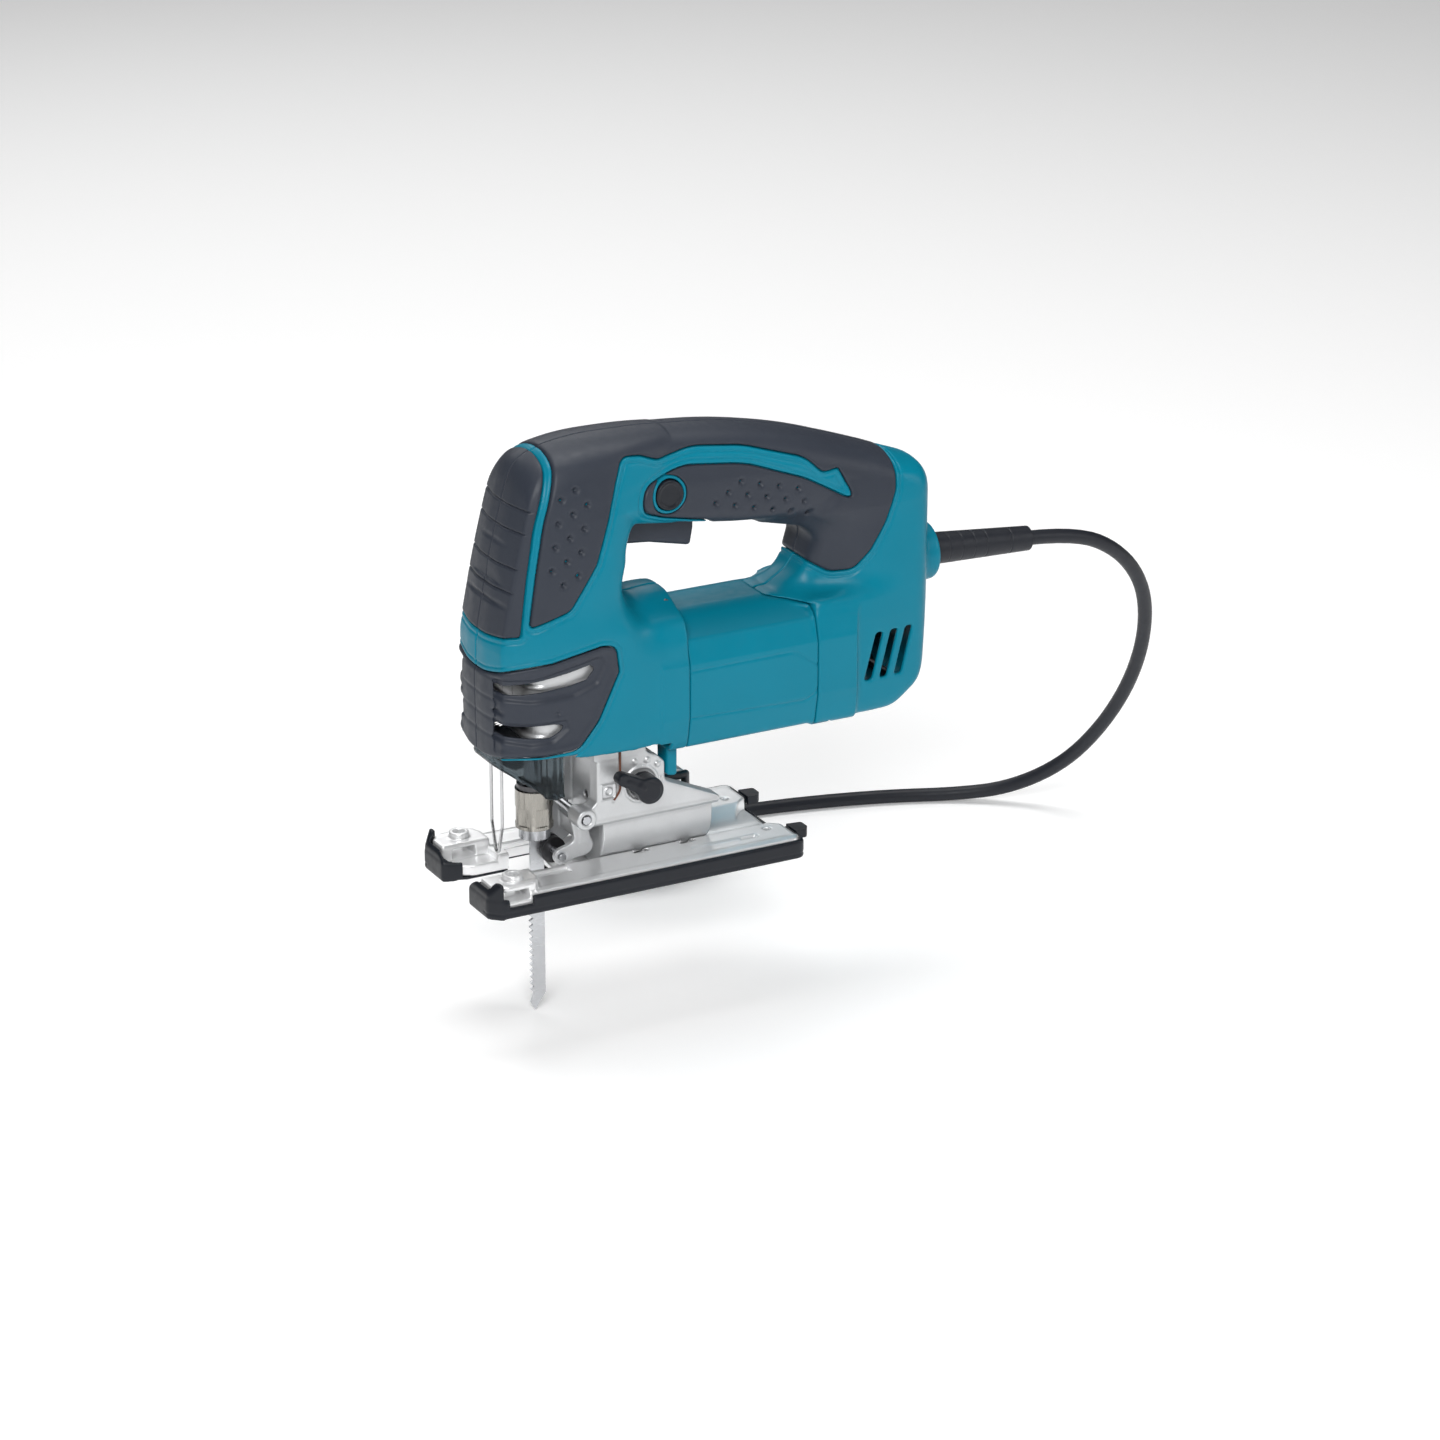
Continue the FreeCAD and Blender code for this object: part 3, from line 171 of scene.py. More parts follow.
CAST = metal("die_cast", (0.63, 0.64, 0.65), 0.44, 1600, 0.00005, variation=0.1, metallic=0.7)
SHOE_METAL = metal(
    "shoe_metal", (0.86, 0.865, 0.87), 0.36, 1300, 0.000015,
    stretch=(0.2, 1, 1), variation=0.05, metallic=0.6,
)
STEEL = metal("ground_steel", (0.50, 0.51, 0.53), 0.30, 1500, 0.00001, stretch=(1, 1, 0.1), soften=EDGE)
WIRE = metal("bright_wire", (0.55, 0.55, 0.56), 0.25, 1500, 0.00001, stretch=(1, 1, 0.1))
BLADE = metal("blade_steel", (0.62, 0.63, 0.65), 0.32, 1700, 0.00002, stretch=(0.08, 1, 1))
DARK_STEEL = metal("oiled_steel", (0.10, 0.10, 0.105), 0.35, 1500, 0.00003, soften=EDGE)
NICKEL = metal("nickel_sleeve", (0.36, 0.345, 0.315), 0.28, 1500, 0.00001, stretch=(1, 1, 0.1), soften=EDGE)
COPPER = metal("copper_wire", (0.55, 0.24, 0.10), 0.35, 5200, 0.0002, soften=EDGE)
BRONZE = metal("sintered_bronze", (0.45, 0.31, 0.14), 0.42, 3000, 0.00003, soften=EDGE)
BRASS = metal("brass_pins", (0.66, 0.50, 0.22), 0.25, 1500, 0.00001, stretch=(0.1, 1, 1), soften=EDGE)
SMOKE = smoky("smoky_cover", (0.10, 0.125, 0.14), 0.08)
GASKET = moulded("brown_gasket", (0.16, 0.06, 0.035), 0.6, 2500, 0.00002)


# -------------------- cord, first after the camera

CORD_D = 7.0
# The route from the end of the guard to the hank, in millimetres, as in the CAD.
ROUTE = [
    (259.5, 0, 121.2), (287, 0, 119.35), (314, 4, 105), (335, 14, 81), (347, 29, 50),
    (352, 48, 17), (350, 70, -15), (341, 92, -42), (322, 113, -59), (298, 129, -63.5),
    (269, 141.5, -63.5), (237, 151, -63.5), (204, 158, -63.5), (167, 162, -63.5), (129, 163.2, -63.5),
]
HANK_Y = 135.0            # middle of the hank
HANK_LEFT = 99.0          # centres of its folds
HANK_RIGHT = 128.0
FOLD_INNER = 21.0         # centreline radii of the folds
FOLD_OUTER = 28.2
HANK_LAYERS = 4
TURN_POINTS = 20
TAIL_RISE = 11.0          # from the top layer up to the plug's entry


def hank_place(share, radius):
    """The point of a long turn that is a share of the way round, from its far right."""
    run = HANK_RIGHT - HANK_LEFT
    fold = math.pi * radius
    along = (share % 1.0) * 2 * (run + fold)
    if along < run:
        return HANK_RIGHT - along, HANK_Y + radius
    along -= run
    if along < fold:
        angle = math.pi / 2 + along / radius
        return HANK_LEFT + radius * math.cos(angle), HANK_Y + radius * math.sin(angle)
    along -= fold
    if along < run:
        return HANK_LEFT + along, HANK_Y - radius
    angle = -math.pi / 2 + (along - run) / radius
    return HANK_RIGHT + radius * math.cos(angle), HANK_Y + radius * math.sin(angle)


def hank_points():
    """Two turns to a layer: outside then inside, and the other way round in the next layer.
    The last quarter of each turn leads into the next, and the end rises to the plug."""
    stops = []
    for layer in range(HANK_LAYERS):
        pair = [(FOLD_OUTER, layer), (FOLD_INNER, layer)]
        stops += pair if layer % 2 == 0 else pair[::-1]
    points = []
    for turn, (radius, layer) in enumerate(stops):
        next_radius, next_layer = stops[min(turn + 1, len(stops) - 1)]
        for i in range(TURN_POINTS):
            share = i / TURN_POINTS
            part = max(0.0, (share - 0.75) / 0.25)
            x, y = hank_place(share, radius + part * (next_radius - radius))
            points.append((x, y, (layer + part * (next_layer - layer)) * CORD_D))
    for i in range(9):
        share = i / 8
        x, y = hank_place(0.5 * share, FOLD_OUTER + share * (FOLD_INNER - FOLD_OUTER))
        points.append((x, y, (HANK_LAYERS - 1) * CORD_D + TAIL_RISE * share**1.5))
    base = FLOOR_Z + CORD_D / 2
    return [(x, y, z + base) for x, y, z in points[1:]]


def round_line(name, kind, places, radius, roundness, material):
    """A round line of the given radius through places, all in millimetres."""
    curve = bpy.data.curves.new(name, "CURVE")
    curve.dimensions = "3D"
    curve.bevel_depth = radius * MM
    curve.bevel_resolution = roundness
    curve.use_fill_caps = True
    spline = curve.splines.new(kind)
    spline.points.add(len(places) - 1)
    for point, place in zip(spline.points, places):
        point.co = (*[v * MM for v in place], 1)
    made = bpy.data.objects.new(name, curve)
    bpy.context.scene.collection.objects.link(made)
    curve.materials.append(material)
    return made


def cord():
    """The whole cord as one smooth curve, from the guard to the plug."""
    made = round_line("mains_cord", "NURBS", ROUTE + hank_points(), CORD_D / 2, 6, CORD_RUBBER)
    made.data.resolution_u = 6
    made.data.splines[0].order_u = 3
    made.data.splines[0].use_endpoint_u = True
    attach(made, "housing")
    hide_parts("cord", "cord_hank")


cord()


# -------------------- shapes as distances

def smooth_min(a, b, blend):
    """The union of two distance fields, filleted over about the blend's length."""
    near = np.maximum(blend - np.abs(a - b), 0) / blend
    return np.minimum(a, b) - near * near * (blend / 4)


def smooth_max(a, b, blend):
    """What two distance fields share, its new edge rounded over about the blend's length."""
    return -smooth_min(-a, -b, blend)


def between(values, low, high):
    """The distance to a slab, negative inside it."""
    return np.maximum(low - values, values - high)


def ripple(distance, width):
    """1 on a line and fading to 0 beside it."""
    return np.exp(-((distance / width) ** 2))


def soft_step(distance, width):
    """1 inside a shape and 0 outside it, changing gradually over a few widths."""
    return 1 / (1 + np.exp(np.clip(distance / width, -60, 60)))


def rounded(corners, pieces=12):
    """The points of an outline of (u, v, radius) corners, its round corners as curves."""
    points = []
    for i, (u, v, radius) in enumerate(corners):
        here = np.array((u, v), float)
        back = np.array(corners[i - 1][:2], float) - here
        on = np.array(corners[(i + 1) % len(corners)][:2], float) - here
        if radius <= 0:
            points.append(here)
            continue
        back_long, on_long = np.linalg.norm(back), np.linalg.norm(on)
        half = 0.5 * math.acos(np.clip(back @ on / (back_long * on_long), -1, 1))
        cut = min(radius / math.tan(half), 0.48 * back_long, 0.48 * on_long)
        start, end = here + back / back_long * cut, here + on / on_long * cut
        for t in np.linspace(0, 1, pieces + 1):
            points.append((1 - t) ** 2 * start + 2 * t * (1 - t) * here + t**2 * end)
    return points


def outline_distance(corners, u, v):
    """The signed distance to an outline, negative inside, over a grid of u by v."""
    u, v = u[:, None], v[None, :]
    points = rounded(corners)
    nearest = np.full((u.shape[0], v.shape[1]), 1e9, np.float32)
    inside = np.zeros(nearest.shape, bool)
    for a, b in zip(points, points[1:] + points[:1]):
        edge = b - a
        size = edge @ edge
        if size < 1e-9:
            continue
        along = np.clip(((u - a[0]) * edge[0] + (v - a[1]) * edge[1]) / size, 0, 1)
        off_u, off_v = u - a[0] - edge[0] * along, v - a[1] - edge[1] * along
        nearest = np.minimum(nearest, (off_u**2 + off_v**2).astype(np.float32))
        if abs(edge[1]) > 1e-9:
            spans = (a[1] > v) != (b[1] > v)
            inside ^= spans & (u < edge[0] * (v - a[1]) / edge[1] + a[0])
    return np.where(inside, -1, 1).astype(np.float32) * np.sqrt(nearest)


class Block:
    """A box of space cut into small cubes, on which shapes are signed distances."""

    def __init__(self, low, high, step):
        self.low, self.step = low, step
        self.axes = []
        for a, b in zip(low, high):
            count = int(math.ceil((b - a) / step - 1e-6)) + 1
            self.axes.append((a + step * np.arange(count)).astype(np.float32))
        self.x = self.axes[0][:, None, None]
        self.y = self.axes[1][None, :, None]
        self.z = self.axes[2][None, None, :]

    def side(self, corners):
        """An outline in x and z that runs right across."""
        return outline_distance(corners, self.axes[0], self.axes[2])[:, None, :]

    def plan(self, corners):
        return outline_distance(corners, self.axes[0], self.axes[1])[:, :, None]

    def front(self, corners):
        return outline_distance(corners, self.axes[1], self.axes[2])[None, :, :]

    def leaning_plan(self, corners, from_z, lean):
        """A plan outline that leans back above from_z."""
        flat = outline_distance(corners, self.axes[0], self.axes[1])
        shape = np.empty((*flat.shape, len(self.axes[2])), np.float32)
        places = np.arange(len(self.axes[0]))
        for k, z in enumerate(self.axes[2]):
            shift = max(0.0, z - from_z) * lean / self.step
            whole, part = int(shift), shift - int(shift)
            nearer = flat[np.clip(places - whole, 0, None)]
            farther = flat[np.clip(places - whole - 1, 0, None)]
            shape[:, :, k] = nearer * (1 - part) + farther * part
        return shape

    def box(self, x0, x1, y0, y1, z0, z1):
        flat = np.maximum(between(self.x, x0, x1), between(self.y, y0, y1))
        return np.maximum(flat, between(self.z, z0, z1))

    def rod_x(self, x0, x1, y, z, radius):
        away = np.sqrt((self.y - y) ** 2 + (self.z - z) ** 2) - radius
        return np.maximum(away, between(self.x, x0, x1))

    def rod_y(self, y0, y1, x, z, radius):
        away = np.sqrt((self.x - x) ** 2 + (self.z - z) ** 2) - radius
        return np.maximum(away, between(self.y, y0, y1))

    def rod_z(self, z0, z1, x, y, radius):
        away = np.sqrt((self.x - x) ** 2 + (self.y - y) ** 2) - radius
        return np.maximum(away, between(self.z, z0, z1))

    def link_y(self, y0, y1, start, end, radius):
        """A flat link between two (x, z) centres."""
        away = self.from_line(start, end) - radius
        return np.maximum(away, between(self.y, y0, y1))

    def from_line(self, start, end):
        """The distance from a line between two (x, z) places, seen from the side."""
        du, dv = end[0] - start[0], end[1] - start[1]
        along = ((self.x - start[0]) * du + (self.z - start[1]) * dv) / (du * du + dv * dv)
        along = np.clip(along, 0, 1)
        return np.sqrt((self.x - start[0] - du * along) ** 2 + (self.z - start[1] - dv * along) ** 2)

    def from_place(self, x, z):
        """The distance from a place in the side view."""
        return np.sqrt((self.x - x) ** 2 + (self.z - z) ** 2)

    def both_sides(self, field):
        """A field of the left half, with its mirror image joined on at Y = 0."""
        middle = int(round(-self.low[1] / self.step))
        left = field[:, :middle + 1]
        return np.concatenate([left, left[:, :middle][:, ::-1]], axis=1)


def biggest_parts(points, quads):
    """Leaves out loose fragments of a mesh."""
    label = np.arange(len(points))
    edges = np.concatenate([quads[:, [0, 1]], quads[:, [1, 2]], quads[:, [2, 3]]])
    while True:
        low = np.minimum(label[edges[:, 0]], label[edges[:, 1]])
        fresh = label.copy()
        np.minimum.at(fresh, edges[:, 0], low)
        np.minimum.at(fresh, edges[:, 1], low)
        fresh = fresh[fresh]
        if np.array_equal(fresh, label):
            break
        label = fresh
    counts = np.bincount(label[quads[:, 0]], minlength=len(points))
    keep = counts[label] >= SMALLEST_PIECE * len(quads)
    place = np.cumsum(keep) - 1
    return points[keep], place[quads[keep[quads[:, 0]]]]


def skin(name, block, field, body, nodes, material, mirror=False, share=1.0):
    """Turns a field into a mesh that stands for CAD nodes. share below 1 thins out its faces."""
    band = 2.5 * block.step
    near = field < band
    low, high = [], []
    for axis in range(3):
        others = tuple(a for a in range(3) if a != axis)
        used = np.flatnonzero(near.any(axis=others))
        low.append(max(used[0] - 2, 0))
        high.append(used[-1] + 3)
    part = field[low[0]:high[0], low[1]:high[1], low[2]:high[2]]
    part = np.pad(np.clip(part, -band, band), 2, constant_values=band)
    grid = openvdb.FloatGrid(band)
    grid.copyFromArray(np.ascontiguousarray(part, dtype=np.float32))
    points, quads = grid.convertToQuads(isovalue=0.0)
    points, quads = biggest_parts(points, quads.astype(np.int64))
    points = (points + np.array(low) - 2) * block.step + np.array(block.low)
    if mirror:
        points[:, 1] *= -1
        quads = quads[:, ::-1]
    mesh = bpy.data.meshes.new(name)
    mesh.vertices.add(len(points))
    mesh.vertices.foreach_set("co", (points * MM).astype(np.float32).ravel())
    mesh.loops.add(4 * len(quads))
    mesh.loops.foreach_set("vertex_index", quads.astype(np.int32).ravel())
    mesh.polygons.add(len(quads))
    mesh.polygons.foreach_set("loop_start", np.arange(0, 4 * len(quads), 4, dtype=np.int32))
    mesh.update()
    mesh.validate()
    made = bpy.data.objects.new(name, mesh)
    bpy.context.scene.collection.objects.link(made)
    if share < 1:
        thin = made.modifiers.new("thin", "DECIMATE")
        thin.ratio = share
        made.data = bpy.data.meshes.new_from_object(made.evaluated_get(bpy.context.evaluated_depsgraph_get()))
        made.modifiers.clear()
        made.data.name = name
    made.data.shade_smooth()
    made.data.materials.clear()
    made.data.materials.append(material)
    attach(made, body)
    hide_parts(*nodes)


# -------------------- the casing's broad shape

STEP = 0.5                # sizes of the cubes that the shapes are cut into
FINE = 0.4
NOSE_STEP = 0.3
GRIP_STEP = 0.45
SEAM_FRONT, SEAM_REAR = 64.0, 139.0
MOTOR_Z = 92.0
WALL = 2.5                # thickness of the teal shells
SKIN = 1.7                # depth of the soft pads
HALF_SEAM = 0.12          # half the gap where two shells meet
PAD_GAP = 0.25            # between a soft pad and the pocket it is let into
POCKET_EDGE = 0.7
DOME_R = 40.0             # how round the top of the head and handle is across

HEAD_HALF = 31.0          # half the width of the head
NOSE_LEAN_Z = 120.0       # above this the nose leans back, by this much to the millimetre
NOSE_LEAN = 0.225
CROWN_Z = 132.0           # above this the head narrows towards the handle
SHOULDER_X = 34.0         # the shoulder starts behind this and ends below this
SHOULDER_Z = 152.0
LEG_Z = (121.0, 160.0)    # between these the rear leg of the handle is waisted
BOSS_Z, BOSS_R, BOSS_END = 125.0, 14.0, 205.5
FULL = 900.0              # a radius that rounds a corner as far as its neighbours allow
# The top of the saw from nose to tail, which the head, the handle and the rear share.
NOSE_TOP = [(-17.5, 182, FULL), (-11.5, 199, FULL), (1, 206.4, FULL), (21, 210.4, FULL)]
HANDLE_TOP = [(48, 210, FULL), (92, 205.6, FULL), (130, 197.4, FULL), (160, 186.8, FULL), (182, 178.6, FULL)]
HEAD_SIDE = [
    (-30.5, 98, 60), (-29.5, 66, 3), (70, 62, 0), (70, 132.0, 0), (57, 133.6, 40), (43, 131, 10),
    (36.5, 150, 16), (36.5, 176, 0), (92, 188, 0), (92, 205.6, 0), HANDLE_TOP[0],
    *NOSE_TOP[::-1], (-24, 162, FULL), (-29.5, 124, FULL),
]
HANDLE_SIDE = [
    (24, 158, 0), (42, 168.5, 8), (84, 162.5, 60), (137, 150.5, 8), (150, 146, 0), (182, 150, 0),
    *HANDLE_TOP[::-1], (21, 210.4, 0),
]
REAR_SIDE = [
    (130, 60.6, 0), (173, 60.6, 18), (191, 73, 20), (197.0, 110, 80), (198.0, 172.6, 14),
    *HANDLE_TOP[:2:-1], (150, 190.3, 0), (138, 162, 0), (137.5, 147, 12), (131, 128, 30),
    (112, 121.5, 0), (130, 118, 0),
]


def mirrored(half):
    """A plan outline from its left half, by the mirror image across Y = 0."""
    return half + [(u, -v, r) for u, v, r in reversed(half)]


def both_flanks(half):
    """A front-view outline from one half, by the mirror image across Y = 0."""
    return half + [(-u, v, r) for u, v, r in reversed(half)]


NOSE_PLAN = mirrored([(70, 33, 0), (12, 33, 40), (-10, 29.8, 30), (-26.6, 22.2, 4), (-30.4, 8, 22)])
HEAD_FRONT = both_flanks([(33.5, 60, 0), (33.5, 150, 40), (27, 186, 30), (20.5, 213, 18)])
# The end of the head round the gears: an arch that the motor casing meets.
SHOULDER_FRONT = both_flanks([
    (31, 60, 4), (34.3, 77, 3), (34.3, 107, 14), (28.5, 126.5, 16), (12, 134.5, 16),
])
CROWN_PLAN = mirrored([(-60, 35, 0), (24, 35, 40), (80, 13, 20)])
# The nose is arched at the top, which the rest of the head is not.
ARCH_FRONT = both_flanks([(34, 60, 0), (34, 150, 60), (27, 182, 40), (11, 206, 26)])
REAR_PLAN = mirrored([(199.5, 12, 18), (188.5, 26.2, 12), (160, 30.5, 40), (120, 31, 0)])
LEG_PLAN = mirrored([(205, 40, 0), (165, 27, 0), (150, 21, 20), (136, 14.5, 14), (110, 11, 0)])
BAR_FRONT = both_flanks([(12, 138, 0), (22, 167, 25), (22, 184, 20), (16.5, 213, 16)])
WAIST_FRONT = both_flanks([
    (28, 58, 0), (31, 76, 3), (30.5, 108, 20), (26, 140, 40), (22.5, 172, 10), (15, 194, 8),
])
BARREL_FRONT = both_flanks([
    (28, 60.6, 5), (31.6, 77, 2), (31.6, 102.5, 3), (27.8, 113, 4), (13, 122.2, 18),
])


def dip(b, depth):
    """How far a line sags towards the middle of the nose, across Y."""
    return depth * (1 - np.minimum(np.abs(b.y) / HEAD_HALF, 1.0) ** 2)


def slice_of(b, region, sag):
    """A side-view outline that is lowered by sag, which varies across Y."""
    flat = outline_distance(region, b.axes[0], b.axes[2])
    drops = np.asarray(sag).ravel() / b.step
    places = np.arange(len(b.axes[2]))
    shape = np.empty((len(b.axes[0]), len(b.axes[1]), len(b.axes[2])), np.float32)
    for j, drop in enumerate(drops):
        whole, part = int(drop), drop - int(drop)
        nearer = flat[:, np.clip(places + whole, None, len(places) - 1)]
        farther = flat[:, np.clip(places + whole + 1, None, len(places) - 1)]
        shape[:, j, :] = nearer * (1 - part) + farther * part
    return shape


def domed(b, outline):
    """A side-view shape whose top falls away to both sides as a dome does."""
    return np.maximum(b.side(outline), slice_of(b, outline, b.y**2 / (2 * DOME_R)))


def casing_shape(b):
    """The outside of the whole casing."""
    head = smooth_max(domed(b, HEAD_SIDE), b.leaning_plan(NOSE_PLAN, NOSE_LEAN_Z, NOSE_LEAN), 9)
    head = smooth_max(head, b.front(HEAD_FRONT), 8)
    crown = smooth_min(b.plan(CROWN_PLAN), b.z - CROWN_Z, 12)
    head = smooth_max(head, crown, 12)
    head = smooth_max(head, smooth_min(b.front(ARCH_FRONT), 2.0 - b.x, 26), 5)
    shoulder = smooth_min(b.front(SHOULDER_FRONT), b.x - SHOULDER_X, 16)
    shoulder = smooth_min(shoulder, SHOULDER_Z - b.z, 12)
    head = smooth_max(head, shoulder, 5)
    head = smooth_max(head, b.x - SEAM_FRONT, 1.5)
    beside_leg = smooth_min(smooth_min(b.plan(LEG_PLAN), b.z - LEG_Z[0], 10), LEG_Z[1] - b.z, 12)
    handle = smooth_max(domed(b, HANDLE_SIDE), b.front(BAR_FRONT), 9)
    handle = smooth_max(handle, beside_leg, 5)
    rear = smooth_max(domed(b, REAR_SIDE), b.plan(REAR_PLAN), 6)
    rear = smooth_max(rear, b.front(WAIST_FRONT), 5)
    rear = smooth_max(rear, beside_leg, 5)
    barrel = np.maximum(b.front(BARREL_FRONT), between(b.x, 50.0, 150.0))
    # Under the handle the joins are broad fillets. At the top the shapes share one surface.
    whole = smooth_min(head, handle, 9 - 8.6 * np.clip((b.z - 178.0) / 12.0, 0, 1))
    whole = smooth_min(whole, rear, 8 - 7.6 * np.clip((b.z - 160.0) / 12.0, 0, 1))
    boss = b.rod_x(188, BOSS_END, 0, BOSS_Z, BOSS_R)
    whole = smooth_min(whole, smooth_max(boss, b.x - BOSS_END, 3), 3)
    # The barrel meets the head at a crisp line and flows into the rear.
    return smooth_min(whole, barrel, 1.2 + 3.0 * np.clip((b.x - 110.0) / 20.0, 0, 1))


# -------------------- overmoulding regions, side view

NOSE_REGION = [
    (-60, 129.5, 0), (-17.2, 129.0, 2), (-13.5, 155, 60), (-9.4, 178, 60), (-3.2, 197, 60),
    (0.5, 208, 30), (2.5, 230, 0), (-60, 230, 0),
]
GRIP_REGION = [
    (-13.8, 131.5, 2), (5.6, 137.5, 8), (19, 157.5, 10), (25, 175, 60), (30.5, 192, 30),
    (35, 202.5, 6), (45, 201.5, 10), (54, 198, 8), (72, 201.0, 40), (98, 197.5, 60),
    (128, 188, 20), (137, 179.5, 5), (145, 180.5, 2), (154, 163.5, 3), (128, 178.5, 60),
    (98, 190, 60), (66, 194, 30), (45.5, 187, 10), (44, 175.5, 8), (56, 171, 10),
    (84, 164.5, 10), (84, 140, 0), (116, 140, 0), (128, 141, 3), (134.5, 134.5, 6),
    (143, 129.5, 8), (153, 130.5, 8),
    (161, 139, 20), (169, 152, 20), (174.6, 166, 10), (176.0, 177, 8), (186, 198, 0),
    (120, 225, 0), (60, 230, 0), (7, 230, 0), (4.6, 208, 30), (1.0, 197, 60), (-5.4, 178, 60),
    (-10.0, 155, 60),
]
VENT_REGION = [
    (-60, 74.5, 0), (-27, 74.5, 10), (-8, 71.6, 14), (8, 72.0, 8), (18, 84, 20),
    (28.5, 106, 3), (27, 118, 5), (20, 119.3, 6), (-4, 115.3, 10), (-60, 115, 0),
]
VENT_DIP = 7.0            # the top of the vent cover is this much lower in the middle
NOSE_DIP = 3.5            # and so is the lower edge of the nose pads
UPPER_RECESS = [
    (-26.2, 107.6, 1), (-13, 107.6, 8), (19.5, 114.4, 3), (22, 110.5, 2), (17.6, 102, 3),
    (6, 97.8, 3), (-14, 97, 6), (-26.2, 98.6, 1),
]
UPPER_SLOT = [
    (-26, 100.8, 0.5), (-17.5, 100.4, 3), (4, 102.4, 8), (12.8, 104.2, 2), (16.8, 109, 1.5),
    (14.4, 110.8, 1.5), (4, 108.4, 8), (-12, 106, 6), (-26, 104.4, 0.5),
]
LOWER_RECESS = [
    (-26.2, 87.6, 1), (-18, 86.6, 6), (-4, 86.6, 3), (2.8, 86.8, 2), (4, 83, 3), (-4, 77, 5),
    (-14, 76.4, 6), (-26.2, 78.6, 1),
]
LOWER_SLOT = [
    (-26, 81, 0.5), (-16, 79.6, 4), (-5, 79, 4), (-0.5, 81.2, 2), (1.8, 84, 1),
    (-3.2, 85, 3), (-18, 85.2, 4), (-26, 86, 0.5),
]
NAMEPLATE = [(62, 99.2, 0), (118, 99.5, 10), (135.5, 87.3, 9), (126, 74.3, 10), (62, 76.6, 0)]
BUTTON = (58.5, 181.5)
DIAL = (187.5, 150.0)


DIMPLE_R, DIMPLE_DEPTH = 1.3, 1.7


def dimple(b, x, z):
    """How deep one dimple reaches, over the side view."""
    return DIMPLE_DEPTH * ripple(b.from_place(x, z), DIMPLE_R)


def side_dimples(b):
    """The diamond pattern of dimples on the sides of the head."""
    pattern = 0
    for row in range(5):
        for column in range(3):
            if (row, column) in ((0, 0), (4, 2)):
                continue
            x = 17.6 - 2.05 * row - 7.1 * column
            z = 195.6 - 10.45 * row - 3.4 * column
            pattern = pattern + dimple(b, x, z)
    return pattern


def handle_dimples(b):
    """The rows of dimples along the grip, each row one longer than the row above it."""
    pattern = 0
    for row in range(3):
        for column in range(4 + row):
            x = 95 + 9.8 * column - 6.4 * row
            z = 182 - 2.6 * column - 4.1 * row
            pattern = pattern + dimple(b, x, z)
    return pattern


def without(shape, *cutters):
    """A shape with sharp-edged cuts taken out of it."""
    for cutter in cutters:
        shape = np.maximum(shape, -cutter)
    return shape


def cut_into(shape, casing, region, depth, edge):
    """Cuts a region into a shape to a depth below the casing's surface."""
    cutter = np.maximum(region, -(casing + depth))
    return smooth_max(shape, -cutter, edge)


def rear_slots(b):
    """Three leaning air slots through the rear."""
    first, pitch, width, lean = 155.5, 8.2, 4.2, 6.3
    low, high, corner = 77.5, 100, 1.8
    slots = []
    for i in range(3):
        x = first + pitch * i
        bottom = [(x, low, corner), (x + width, low, corner)]
        top = [(x + width + lean, high, corner), (x + lean, high, corner)]
        slots.append(b.side(bottom + top))
    return np.minimum(np.minimum(slots[0], slots[1]), slots[2])


